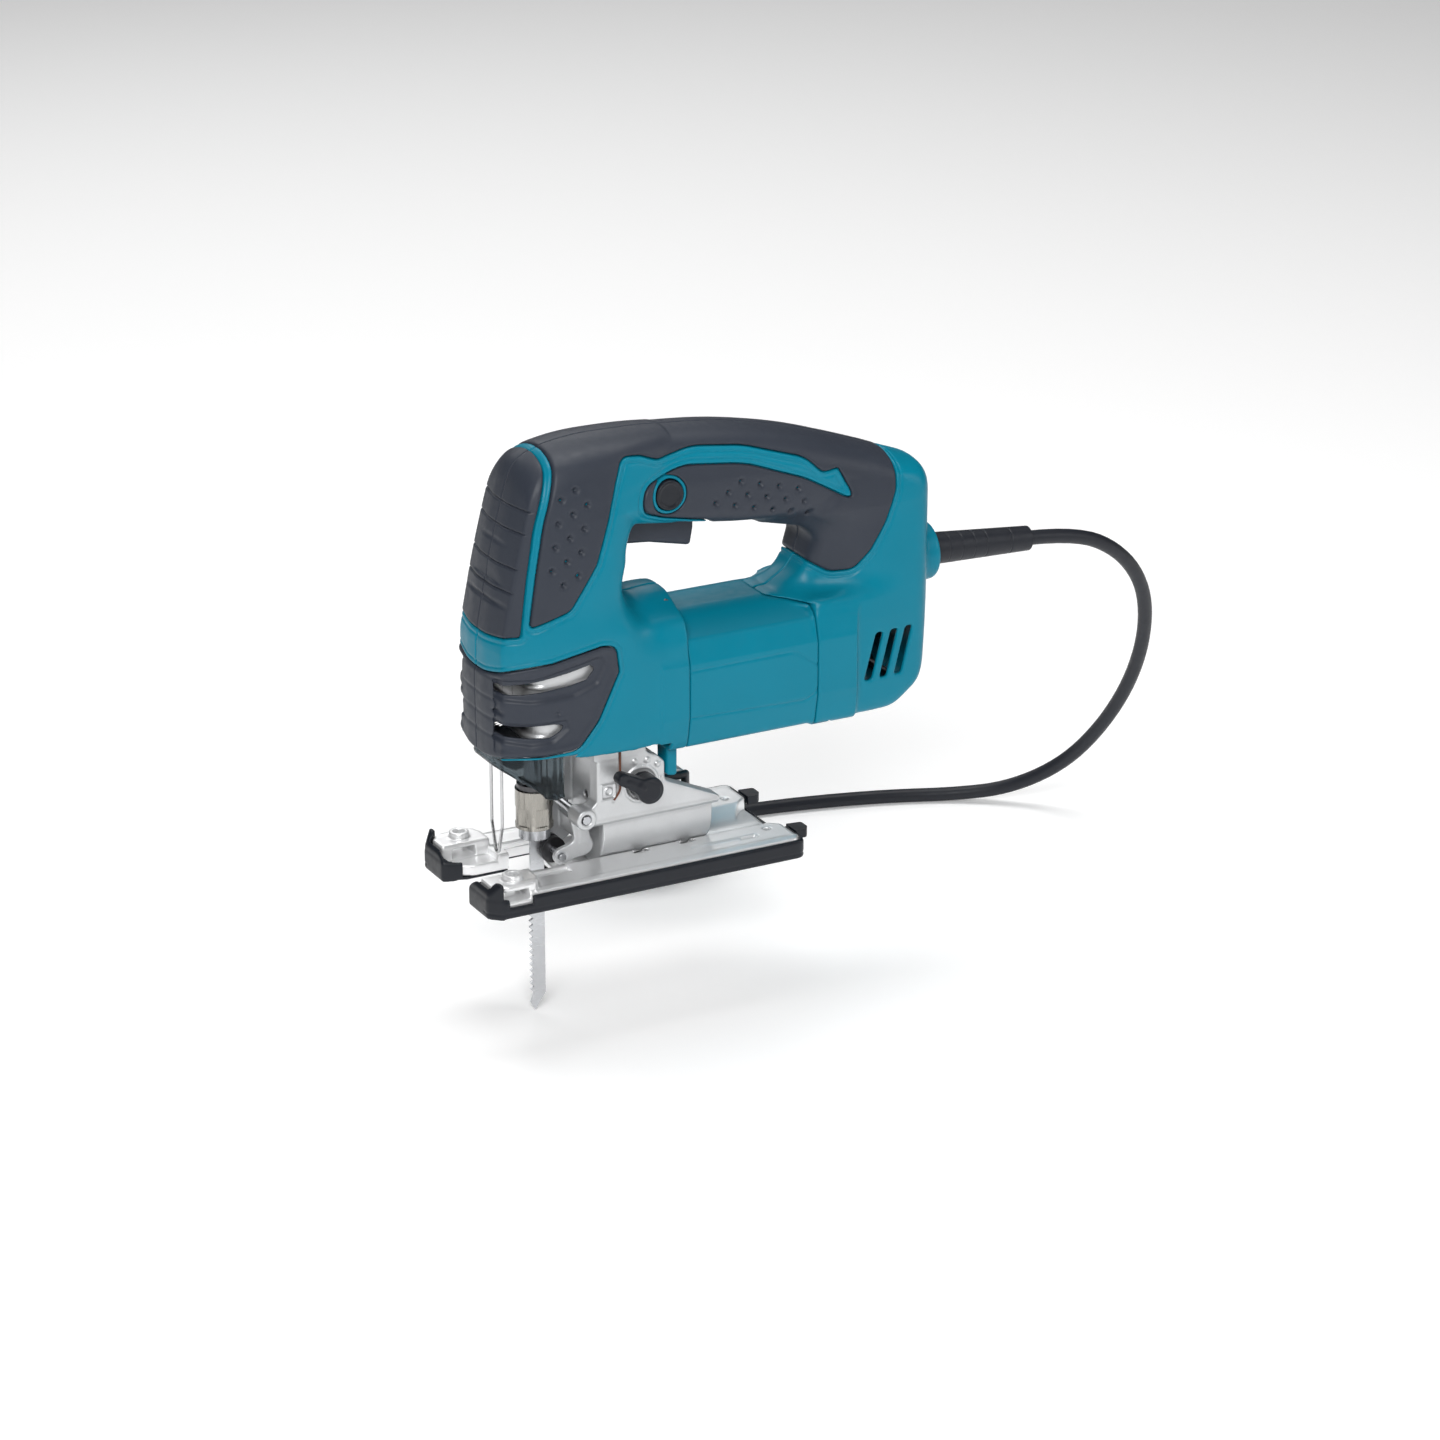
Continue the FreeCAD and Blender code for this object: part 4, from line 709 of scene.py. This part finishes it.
def casing():
    """The two teal shells and the motor casing between their seams."""
    b = Block((-34.0, -36.0, 45.0), (208.0, 1.0, 215.0), STEP)
    shape = casing_shape(b)
    nose = slice_of(b, NOSE_REGION, dip(b, NOSE_DIP))
    grip = b.side(GRIP_REGION)
    vent = slice_of(b, VENT_REGION, dip(b, VENT_DIP))
    flank = b.y < -10

    # Teal casing: pads are let in, with a fine bead line round each of them.
    lines = 0.5 * ripple(grip - 2.4, 0.5) + 0.5 * ripple(vent - 2.6, 0.5)
    lines = lines + 0.4 * ripple(nose - 2.6, 0.5) * (b.z < 128)
    outside = shape + lines
    cavity = shape + WALL
    shell = np.maximum(outside, -cavity)
    shell = cut_into(shell, shape, nose - PAD_GAP, SKIN, POCKET_EDGE)
    collar = b.from_place(*BUTTON) - 8.8
    shell = cut_into(shell, shape, np.maximum(grip - PAD_GAP, -collar), SKIN, POCKET_EDGE)
    shell = cut_into(shell, shape, vent - PAD_GAP, 30.0, POCKET_EDGE)
    shell = smooth_max(shell, -rear_slots(b), 1.2)
    # Openings: the underside, the trigger's slot, the cord's entry and the dial's pocket.
    shell = smooth_max(shell, -b.box(-26.5, 55.5, -28.9, 28.9, 50, 69), 1.0)
    shell = smooth_max(shell, -b.box(39, 81.2, -7.6, 7.6, 150, 175.5), 1.0)
    shell = smooth_max(shell, -b.rod_x(180, 210, 0, BOSS_Z, 8.0), 1.0)
    shell = np.maximum(shell, -b.rod_y(-5.2, 5.2, *DIAL, 11.6))
    # A tab that hangs beside the lever's bracket, and a lip behind the trigger.
    tab = b.side([(56.5, 72, 0), (56.5, 47, 2), (62.0, 46, 2), (62.0, 72, 0)])
    tab = smooth_max(tab, between(b.y, -22.5, -12.0), 1.5)
    lip = b.side([(81.5, 160, 1), (85, 158, 1.5), (89, 159.5, 1.5), (89, 165, 0), (81.5, 166, 0)])
    lip = smooth_max(lip, np.abs(b.y) - 8.0, 1.5)
    shell = smooth_min(shell, tab, 1.0)
    shell = smooth_min(shell, lip, 1.0)

    # The halves end at the seams and at Y = 0, and the motor casing fills what is between.
    half = b.y + HALF_SEAM
    middle = between(b.x, SEAM_FRONT, SEAM_REAR)
    outline = smooth_max(middle, -b.side(REAR_SIDE), 0.5)
    outline = np.maximum(outline, -b.side(HANDLE_SIDE))
    ends = smooth_max(shell, -(outline - HALF_SEAM), 0.9)
    ends = smooth_max(ends, half, 0.9)
    button_hole = b.rod_y(-40, -5, *BUTTON, 7.3)
    left = smooth_max(ends, -button_hole, 0.6)
    skin("casing_left", b, left, "housing", ["housing_left"], TEAL, share=0.6)
    skin("casing_right", b, ends, "housing", ["housing_right"], TEAL, mirror=True, share=0.6)

    plate = b.side(NAMEPLATE)
    engraved = 0.5 * ripple(plate, 0.55) * flank
    tube = np.maximum(shape + engraved, -cavity)
    tube = smooth_max(tube, outline + HALF_SEAM, 0.9)
    skin("motor_casing", b, b.both_sides(tube), "housing", ["motor_housing"], TEAL, share=0.6)


FACET_HALF = 21.6
GROOVES_Z = (184.3, 174.4, 158.6, 147.8)


def nose_pads():
    """A front facet with grooves across it, between two creases."""
    b = Block((-34.0, -36.0, 120.0), (10.0, 1.2, 214.0), NOSE_STEP)
    shape = casing_shape(b)
    nose = slice_of(b, NOSE_REGION, dip(b, NOSE_DIP))
    facet = soft_step(np.abs(b.y) - FACET_HALF, 0.35)
    ribs = 0
    for z in GROOVES_Z:
        ribs = ribs + 0.9 * ripple(b.z - z, 0.4)
    marks = 0.45 * (1 - facet)
    for x, z in ((-14.6, 194.8), (-19.6, 167.9), (-23.5, 141.4)):
        marks = marks + 1.0 * ripple(b.from_place(x, z), 1.1)
    for start, end in (((-18.0, 184.4), (-18.1, 177.8)), ((-21.9, 157.7), (-22.0, 150.3))):
        marks = marks + 0.7 * ripple(b.from_line(start, end), 0.5)
    pad = smooth_max(shape - 0.35 + ribs * facet + marks, nose + PAD_GAP, 1.4)
    pad = np.maximum(pad, -(shape + SKIN - 0.15))
    pad = smooth_max(pad, b.y + HALF_SEAM, 0.6)
    skin("nose_cover_left", b, pad, "housing", ["nose_pad_left"], GRIP, share=0.6)
    skin("nose_cover_right", b, pad, "housing", ["nose_pad_right"], GRIP, mirror=True, share=0.6)


def grips():
    """The dimpled covers of the head's sides and the handle."""
    b = Block((-18.0, -36.0, 126.0), (180.0, 1.35, 216.0), GRIP_STEP)
    shape = casing_shape(b)
    grip = b.side(GRIP_REGION)
    outer = shape - 0.3 + side_dimples(b) + handle_dimples(b)
    grip_skin = smooth_max(outer, grip + PAD_GAP, 1.4)
    grip_skin = np.maximum(grip_skin, -(shape + SKIN - 0.15))
    grip_skin = np.maximum(grip_skin, -b.box(38, 82.2, -8.6, 8.6, 150, 175.5))
    grip_skin = smooth_max(grip_skin, b.y + HALF_SEAM, 0.5)
    left = smooth_max(grip_skin, -b.rod_y(-40, -5, *BUTTON, 9.0), 0.8)
    skin("grip_cover_left", b, left, "housing", ["grip_left"], GRIP, share=0.7)
    nodes = ["grip_right"]
    skin("grip_cover_right", b, grip_skin, "housing", nodes, GRIP, mirror=True, share=0.7)


def vent_cover():
    """A rim, two recessed slots on each side and shallow steps round the front."""
    b = Block((-34.4, -36.0, 66.0), (34.0, 1.2, 124.0), FINE)
    shape = casing_shape(b)
    vent = slice_of(b, VENT_REGION, dip(b, VENT_DIP))
    recess = 1.5 * (soft_step(b.side(UPPER_RECESS), 0.4) + soft_step(b.side(LOWER_RECESS), 0.4))
    steps = 0
    for z in (107.5, 97.5, 88.0, 79.5):
        steps = steps + 0.3 * ripple(b.z - z, 0.9)
    steps = steps * soft_step(b.x + 26.5, 0.7)
    spots = ripple(b.from_place(-26.0, 92.3), 1.1) + ripple(b.from_place(-1.5, 90.7), 1.1)
    rim = 0.5 * soft_step(vent + 3.2, 0.5) * (b.x > -27)
    cover = smooth_max(shape - 0.5 + rim + recess + steps + spots, vent + PAD_GAP, 1.6)
    cover = np.maximum(cover, -(shape + 2.8))
    slots = np.minimum(b.side(UPPER_SLOT), b.side(LOWER_SLOT))
    cover = smooth_max(cover, -np.maximum(slots, b.y + 12), 0.8)
    cover = cover + 0.35 * ripple(b.y, 0.4) * (shape > -1)
    skin("vent_cover", b, b.both_sides(cover), "housing", ["front_vent_cover"], GRIP, share=0.9)


casing()
nose_pads()
grips()
vent_cover()


# -------------------- gear housing and its foot

TILT_Z = 22.6
TROUGH_R = 19.0
BRACKET_SIDE = [
    (12.6, 37.7, 3), (11.0, 32.5, 3), (15.5, 28.2, 3), (84, 28.2, 1), (84, 32.0, 1.5),
    (56.0, 44.6, 3), (56.0, 54.0, 3), (52, 58, 3), (46, 61, 4), (46, 75, 0),
    (21.4, 75, 0), (21.4, 40.4, 3), (17.6, 36.9, 3),
]
FOOT_FRONT = both_flanks([(18.6, 0, 0), (18.6, 24.6, 2), (22, 30.0, 3), (22, 80, 0)])
ROCKER = (15.4, 33.0)
LEVER = (43.5, 45.5)
CASE_BOTTOM, CASE_TOP, CASE_WALL = 74.2, 157.0, 2.6
WEB_PITCH = 12.0
CHEEK_Y = 22.0            # the flat outer faces of the bracket


def gear_case():
    """The cast gear housing, its ribs, and the bracket and foot that carry the shoe."""
    b = Block((-15.5, -30.0, 2.5), (88.0, 1.0, 159.0), STEP)
    plan = b.plan(mirrored([(41, 28, 5), (-12.5, 25.5, 12)]))
    case = smooth_max(plan, between(b.z, CASE_BOTTOM, CASE_TOP), 3)
    inside = between(b.z, 77, CASE_TOP - CASE_WALL)
    case = np.maximum(case, -np.maximum(plan + CASE_WALL, inside))
    webs = np.maximum(np.abs((b.z % WEB_PITCH) - WEB_PITCH / 2) - 0.9, plan - 0.8)
    webs = np.maximum(webs, np.maximum(-(plan + 1.0), between(b.z, CASE_BOTTOM + 2, 150)))
    case = smooth_min(case, webs, 0.8)
    case = smooth_max(case, casing_shape(b) + WALL + 1.6, 0.6)

    side = b.side(BRACKET_SIDE)
    bracket = smooth_max(side, np.abs(b.y) - CHEEK_Y, 1.4)
    foot = np.maximum(b.rod_x(26, 82, 0, TILT_Z, TROUGH_R - 0.4), b.z - 29.5)
    bracket = smooth_min(bracket, foot, 1.5)
    bracket = smooth_min(bracket, b.box(20, 46, -CHEEK_Y, CHEEK_Y, 60, CASE_BOTTOM + 3), 1.5)
    bracket = smooth_max(bracket, b.front(FOOT_FRONT), 1.2)
    bracket = smooth_max(bracket, -b.box(0, 26, -13.4, 13.4, 0, 69.5), 1.0)
    bracket = np.maximum(bracket, -b.box(28.5, 53.5, -17.5, 17.5, 32, 70.5))
    bracket = smooth_max(bracket, -b.box(60, 90, -13, 13, 24, 60), 1.0)

    # Raised marks on the left cheek: three dots, a ringed square, three bars and a pointer stop.
    cheek = np.abs(b.y + CHEEK_Y) - 0.5
    marks = b.from_place(26.8, 44.6)
    square = np.maximum(np.abs(b.x - 26.8), np.abs(b.z - 44.6))
    raised = np.minimum(np.abs(square - 3.4) - 0.35, np.abs(marks - 1.8) - 0.35)
    for x, z in ((40.4, 56.7), (46.8, 56.4), (52.0, 53.6)):
        raised = np.minimum(raised, b.from_place(x, z) - 1.35)
    for i in range(3):
        raised = np.minimum(raised, np.maximum(np.abs(b.x - 51.6 - 1.5 * i) - 0.4, np.abs(b.z - 45.5) - 1.9))
    raised = np.minimum(raised, np.abs(b.from_place(*LEVER) - 8.2) - 0.8)
    bracket = smooth_min(bracket, np.maximum(raised, cheek), 0.5)
    groove = np.minimum(b.from_line((33.0, 73), (33.0, 44)), b.from_line((33.0, 44), (29.5, 39.5)))
    bracket = np.maximum(bracket, -np.maximum(groove - 0.55, np.abs(b.y + CHEEK_Y) - 0.6))
    edge = b.from_line((15, 30.2), (83, 30.2))
    bracket = bracket - 0.3 * ripple(edge, 1.0) * (b.y < -20)
    boss = smooth_max(b.rod_y(-23.0, -13.5, *ROCKER, 4.8), -b.rod_y(-30, 0, *ROCKER, 2.6), 0.4)
    bracket = smooth_min(bracket, boss, 1.2)

    whole = smooth_min(case, bracket, 1.5)
    # Bores for the plunger, the motor's shaft, the rocker's pin, the lever and the hex key.
    whole = without(
        whole, b.rod_z(60, 160, 0, 0, 6.7), b.rod_x(29, 45, 0, MOTOR_Z, 5.5),
        b.rod_y(-30, 30, *ROCKER, 2.2), b.rod_y(-30, -14, *LEVER, 4.2), b.rod_x(26, 62, 0, 36, 2.2),
    )
    skin("gear_case", b, b.both_sides(whole), "housing", ["gear_housing"], CAST, share=0.6)

    bends = [(33.0, -21.75, 68), (33.0, -21.75, 45), (32.2, -21.75, 43.0), (29.8, -21.75, 39.9)]
    gasket = round_line("gasket", "POLY", bends, 0.45, 3, GASKET)
    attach(gasket, "housing")


gear_case()


# -------------------- shoe and its slip-on sole

SHOE_STEP = 0.55
SHOE_PLAN = mirrored([
    (118.5, 37, 4), (-31, 37, 4), (-38.3, 31, 3), (-38.3, 16.5, 2.5), (-36.5, 14.5, 4),
    (-26, 9.6, 8), (-8, 9.6, 2),
])
BLOCK_PLAN = [(-37.2, 20, 1), (-13, 20, 1), (-13, 30, 2), (-17, 36, 2), (-31, 36, 4), (-37.2, 31, 3)]
COVER_PLAN = mirrored([
    (120.5, 39, 5), (-34.5, 39, 4), (-40.3, 33.5, 4), (-40.3, 14.0, 2), (-29, 10.2, 6), (-8.6, 10.2, 1),
])
WEDGE = both_flanks([(25.0, -1.0, 0), (13.2, 10.8, 0)])
RAIL_Z = 10.0
PRONG_Z = 14.5
BASE_BOLTS = (46.0, 70.0)


def flipped(corners):
    """The mirror image of an outline in plan."""
    return [(u, -v, r) for u, v, r in reversed(corners)]


def shoe():
    """The pressed shoe, and the plastic sole that slips over it."""
    b = Block((-41.25, -40.15, -1.1), (122.1, 1.1, 18.7), SHOE_STEP)
    plate = smooth_max(b.plan(SHOE_PLAN), between(b.z, 1.6, RAIL_Z), 1.6)
    sole = b.box(10, 112, -13, 13, 0, 1.6)
    bridge = smooth_max(b.plan(flipped(BLOCK_PLAN)), between(b.z, 6, PRONG_Z), 1.4)
    stud = smooth_max(b.rod_z(PRONG_Z - 1, 17.6, -25, -28, 4.6), b.z - 17.6, 0.8)
    body = smooth_min(smooth_min(plate, bridge, 1.2), stud, 0.8)
    body = np.minimum(body, sole)
    ledge = b.box(-45, -14, -20, -5, 6, 20)
    body = smooth_max(body, -ledge, 1.2)
    lip_plan = flipped([(-37.5, 8, 2), (-14, 5, 2), (-14, 20, 1), (-37.5, 20, 1)])
    lip = smooth_max(b.plan(lip_plan), between(b.z, 4.5, 7.0), 0.8)
    body = np.minimum(body, np.maximum(lip, b.plan(SHOE_PLAN)))
    away = np.sqrt(b.y**2 + (b.z - TILT_Z) ** 2)
    trough = np.maximum(away - TROUGH_R, -3 - b.x)
    body = smooth_max(body, -trough, 0.7)
    body = np.maximum(body, -np.maximum(b.front(WEDGE), between(b.x, -8.5, 8.0)))
    body = smooth_max(body, -b.box(-32.0, -20.4, -50, -5, 7.3, 12.0), 0.7)
    body = np.maximum(body, -b.rod_z(11, 20, -25, -28, 2.5))
    body = smooth_max(body, -b.rod_z(0, 20, 109.3, -20.5, 1.7), 0.7)
    flare = np.sqrt((b.x - 131) ** 2 + (b.y * 1.15) ** 2) - 24.0
    flare = np.maximum(flare, 3.2 + 0.10 * np.maximum(124 - b.x, 0) - b.z)
    body = smooth_max(body, -flare, 1.0)

    slot_plan = [(68, -27, 1.5), (102, -27, 1.5), (102, -23.4, 1.5), (68, -23.4, 1.5)]
    long_slot = smooth_max(b.plan(slot_plan), RAIL_Z - 0.9 - b.z, 0.8)
    body = smooth_max(body, -long_slot, 0.6)
    body = np.maximum(body, -b.box(94, 101, -26.6, -23.8, 5, 20))
    low_rib = b.box(-11, 8, -22, -17, RAIL_Z - 1.4, 20)
    body = smooth_max(body, -low_rib, 0.8)
    body = body - 0.35 * ripple(b.y + 33.5, 1.2) * (b.z > 8)
    angle = np.degrees(np.arctan2(np.abs(b.y), TILT_Z - b.z))
    for x in BASE_BOLTS:
        slot = np.maximum(np.abs(b.x - x) - 2.4, (angle - 53) * 0.35)
        slot = np.maximum(slot, np.maximum(17 - away, away - 20.4))
        wide = np.maximum(np.abs(b.x - x) - 4.0, (angle - 54.8) * 0.35)
        wide = np.maximum(wide, np.maximum(20.3 - away, away - 23.1))
        body = np.maximum(body, -np.minimum(slot, wide))
    nodes = ["shoe", "fence_caps"]
    skin("saw_shoe", b, b.both_sides(body), "base", nodes, SHOE_METAL, share=0.8)

    tray = smooth_max(b.plan(COVER_PLAN), np.maximum(-b.z, b.z - 9.2), 1.6)
    cap_side = [(-40.3, -2, 0), (-33.8, -2, 0), (-33.8, 16.6, 1), (-35.6, 17.2, 1), (-40.3, 11, 2)]
    rising = [(-42, -1, 0), (-12, -1, 0), (-12, 8, 3), (-24, 17, 3), (-27, 30, 0), (-42, 30, 0)]
    cap = smooth_max(smooth_max(b.side(cap_side), b.front(rising), 1.4), b.plan(COVER_PLAN), 1.6)
    cap = np.maximum(cap, -b.z)
    tray = smooth_min(tray, cap, 0.8)
    gap = 0.15
    shoe_room = np.maximum(b.plan(SHOE_PLAN) - gap, 1.6 - gap - b.z)
    block_room = np.maximum(b.plan(flipped(BLOCK_PLAN)) - gap, 5 - b.z)
    tray = without(tray, shoe_room, block_room)
    tray = smooth_max(tray, -b.box(-31, -19.5, -45, -30, 5.4, 20), 0.8)
    blade_room = np.maximum(b.front(WEDGE), between(b.x, -8.5, 9.0))
    tray = without(
        tray, b.box(-31, 112, -16, 16, 1.6, 20), b.box(110, 130, -20, 20, 3.2, 20),
        b.box(10, 112, -13, 13, -2, 3), blade_room, trough,
    )
    tray = tray + 0.35 * ripple(b.z - 2.6, 0.4) * (np.abs(b.y) > 30)
    skin("slip_on_sole", b, b.both_sides(tray), "base", ["shoe_cover"], BLACK, share=0.8)


shoe()


# -------------------- clear dust cover, lever, arm

def dust_cover():
    """A thin clear cover round the front, with two ribs on each side."""
    b = Block((-27.0, -23.0, 42.0), (7.0, 1.0, 70.0), 0.5)
    plan = b.plan(mirrored([(7, 21.5, 0), (-14, 21.5, 14), (-25.3, 11, 10)]))
    shell = smooth_max(plan, b.z - 68, 0.6)
    shell = smooth_max(shell, -(plan + 1.7), 0.3)
    bevel = b.side([
        (-30, 66, 0), (-30, 30, 0), (12, 30, 0), (12, 45.5, 0), (-2, 45.5, 8), (-10, 52.5, 12),
        (-26, 63.5, 10),
    ])
    shell = smooth_max(shell, -bevel, 0.7)
    shell = smooth_max(shell, b.x - 5.0, 0.5)
    rim = 0.4 * ripple(bevel - 1.2, 0.7)
    rib = 0.5 * ripple(b.x + 4.5, 0.8) + 0.5 * ripple(b.x - 1.0, 0.8)
    shell = shell - (rim + rib * (b.y < -18)) * (plan > -1.2)
    skin("clear_cover", b, b.both_sides(shell), "dust_cover", ["dust_cover"], SMOKE)


def lever():
    """The orbital lever: a hub and a tapering arm with a groove along it."""
    b = Block((20.0, -35.0, 36.0), (52.0, -20.0, 60.0), 0.4)
    tip = (LEVER[0] - 13.8, LEVER[1] + 7.8)
    hub = smooth_max(b.rod_y(-33, -22.5, *LEVER, 6.4), -33 - b.y, 1.6)
    taper = 3.9 - 0.9 * np.clip((LEVER[0] - b.x) / 13.8, 0, 1)
    arm = np.maximum(b.from_line(LEVER, tip) - taper, between(b.y, -33.6, -27.0))
    arm = smooth_max(arm, -33.6 - b.y, 2.2)
    body = smooth_min(hub, arm, 2.5)
    ridge = 0.5 * ripple(b.from_line((tip[0] + 2, tip[1] - 1.2), (LEVER[0] - 4, LEVER[1] + 2.2)), 0.9)
    body = body - ridge * (b.y < -32)
    skin("selector_lever", b, body, "selector", ["orbital_lever"], BLACK)


def rocker_arm():
    """Two bent links with a bridge between them."""
    b = Block((0.0, -14.4, 7.6), (24.0, 1.2, 39.2), 0.4)
    elbow, roller = (19.0, 16.2), (7.8, 13.0)
    upper = b.link_y(-12.6, -9.6, ROCKER, elbow, 3.6)
    lower = b.link_y(-12.6, -9.6, elbow, roller, 3.9)
    bars = smooth_min(upper, lower, 4)
    bars = smooth_max(bars, between(b.y, -12.6, -9.6), 0.8)
    bridge = smooth_max(b.box(17.2, 21.5, -12.6, 12.6, 18, 26), b.box(16, 22, -12.6, 12.6, 17, 27), 0.8)
    arm = smooth_min(bars, bridge, 1.2)
    arm = np.maximum(arm, -b.rod_y(-30, 30, *ROCKER, 2.1))
    arm = np.maximum(arm, -b.rod_y(-30, 30, *roller, 1.7))
    arm = smooth_max(arm, -b.rod_y(-12.7, -12.2, *roller, 2.6), 0.3)
    skin("rocker_arm", b, b.both_sides(arm), "rocker", ["roller_arm"], CAST)


def trigger():
    """A curved finger lever with the bore of its pin."""
    b = Block((36.0, -8.4, 146.0), (81.6, 1.2, 178.4), 0.4)
    outline = [
        (39.4, 156.2, 2), (56, 154.6, 30), (77.2, 149.8, 2), (78.8, 158.5, 3), (78.8, 166, 2),
        (60, 171, 6), (47, 175.5, 3), (39.4, 172, 2),
    ]
    body = smooth_max(b.side(outline), np.abs(b.y) - 7.0, 2.4)
    body = smooth_max(body, -b.rod_y(-20, 20, 44, 173.5, 1.6), 0.2)
    skin("trigger_lever", b, b.both_sides(body), "trigger", ["trigger"], GRIP)


def button():
    """A flanged round button with a dished face."""
    b = Block((48.0, -25.2, 171.2), (69.2, -7.6, 192.0), 0.4)
    body = smooth_max(b.rod_y(-23.4, -13, *BUTTON, 6.85), -23.4 - b.y, 1.2)
    body = smooth_min(body, b.rod_y(-16.5, -14.8, *BUTTON, 8.2), 0.4)
    body = smooth_max(body, -b.rod_y(-30, -22.7, *BUTTON, 5.1), 0.7)
    body = np.minimum(body, b.rod_y(-14, -8, *BUTTON, 3))
    skin("lock_on_button", b, body, "lock_button", ["lock_button"], BLACK)


dust_cover()
lever()
rocker_arm()
trigger()
button()


# -------------------- materials of the CAD's own pieces

FINISHES = {
    STEEL: [
        "armature_shaft", "ball_bearings", "blade_holder", "brush_springs", "button_spring",
        "drive_gear", "gear_shaft", "orbital_cam", "pivot_pins", "plunger_rod", "roller_pin", "yoke",
    ],
    DARK_STEEL: [
        "armature_core", "base_bolts", "casing_screws", "clamp_cap", "field_core", "guide_roller", "hex_key",
    ],
    WIRE: ["finger_guard"],
    BLADE: ["blade"],
    NICKEL: ["clamp_sleeve"],
    COPPER: ["armature_winding", "field_coils"],
    BRONZE: ["brush_holders", "commutator", "gear_bush", "plunger_bushes"],
    BRASS: ["plug_pins"],
    GRAPHITE: ["carbon_brushes"],
    INNER: ["brush_frame", "cord_clamp", "speed_module", "switch"],
    BLACK_PART: ["cooling_fan", "cord_tie", "cover_clips"],
    GUARD_RUBBER: ["bearing_boot", "cord_guard", "plug"],
    GRIP_PART: ["speed_dial"],
}
for finish, names in FINISHES.items():
    for name in names:
        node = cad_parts[name]
        node.data.materials.clear()
        node.data.materials.append(finish)


# -------------------- floor, world and lights

def stage():
    """A pale floor that the light and the world fade into white."""
    size = 9.0
    mesh = bpy.data.meshes.new("floor")
    z = FLOOR_Z * MM
    corners = [(-size, -size, z), (size, -size, z), (size, size, z), (-size, size, z)]
    mesh.from_pydata(corners, [], [(0, 1, 2, 3)])
    floor = bpy.data.objects.new("floor", mesh)
    bpy.context.scene.collection.objects.link(floor)
    made, tree, bsdf = shader("pale_floor")
    bsdf.inputs["Base Color"].default_value = (0.9, 0.9, 0.9, 1)
    bsdf.inputs["Roughness"].default_value = 0.8
    bsdf.inputs["Emission Color"].default_value = (1, 1, 1, 1)
    bsdf.inputs["Emission Strength"].default_value = 0.22
    mesh.materials.append(made)


def softbox(name, place, target, size, power):
    """A rectangular lamp at a place, turned to face a target."""
    lamp = bpy.data.lights.new(name, "AREA")
    lamp.shape = "RECTANGLE"
    lamp.size, lamp.size_y = size
    lamp.energy = power
    made = bpy.data.objects.new(name, lamp)
    made.location = place
    away = np.array(place) - np.array(target)
    flat = math.hypot(away[0], away[1])
    made.rotation_euler = (math.atan2(flat, away[2]), 0, math.atan2(away[0], -away[1]))
    bpy.context.scene.collection.objects.link(made)


def surroundings():
    """A plain grey world that is brighter towards the top."""
    world = bpy.data.worlds.new("studio")
    world.use_nodes = True
    sky = world.node_tree
    direction = sky.nodes.new("ShaderNodeTexCoord")
    parts = sky.nodes.new("ShaderNodeSeparateXYZ")
    sky.links.new(direction.outputs["Generated"], parts.inputs["Vector"])
    brightness = spread_between(sky, parts.outputs["Z"], 0.16, 0.62, start=0.0, end=0.9)
    sky.links.new(brightness, sky.nodes["Background"].inputs["Strength"])
    bpy.context.scene.world = world


stage()
surroundings()
bpy.context.scene.view_settings.view_transform = "Standard"
MIDDLE = (0.08, 0.0, 0.08)
softbox("key", (-0.9, -1.5, 1.35), MIDDLE, (1.2, 0.8), 36)
softbox("overhead", (0.2, 0.4, 1.9), MIDDLE, (1.6, 0.9), 24)
softbox("side", (1.6, -1.2, 0.9), MIDDLE, (0.7, 1.2), 9)
softbox("back", (0.3, 1.8, 1.2), MIDDLE, (1.6, 0.6), 8)
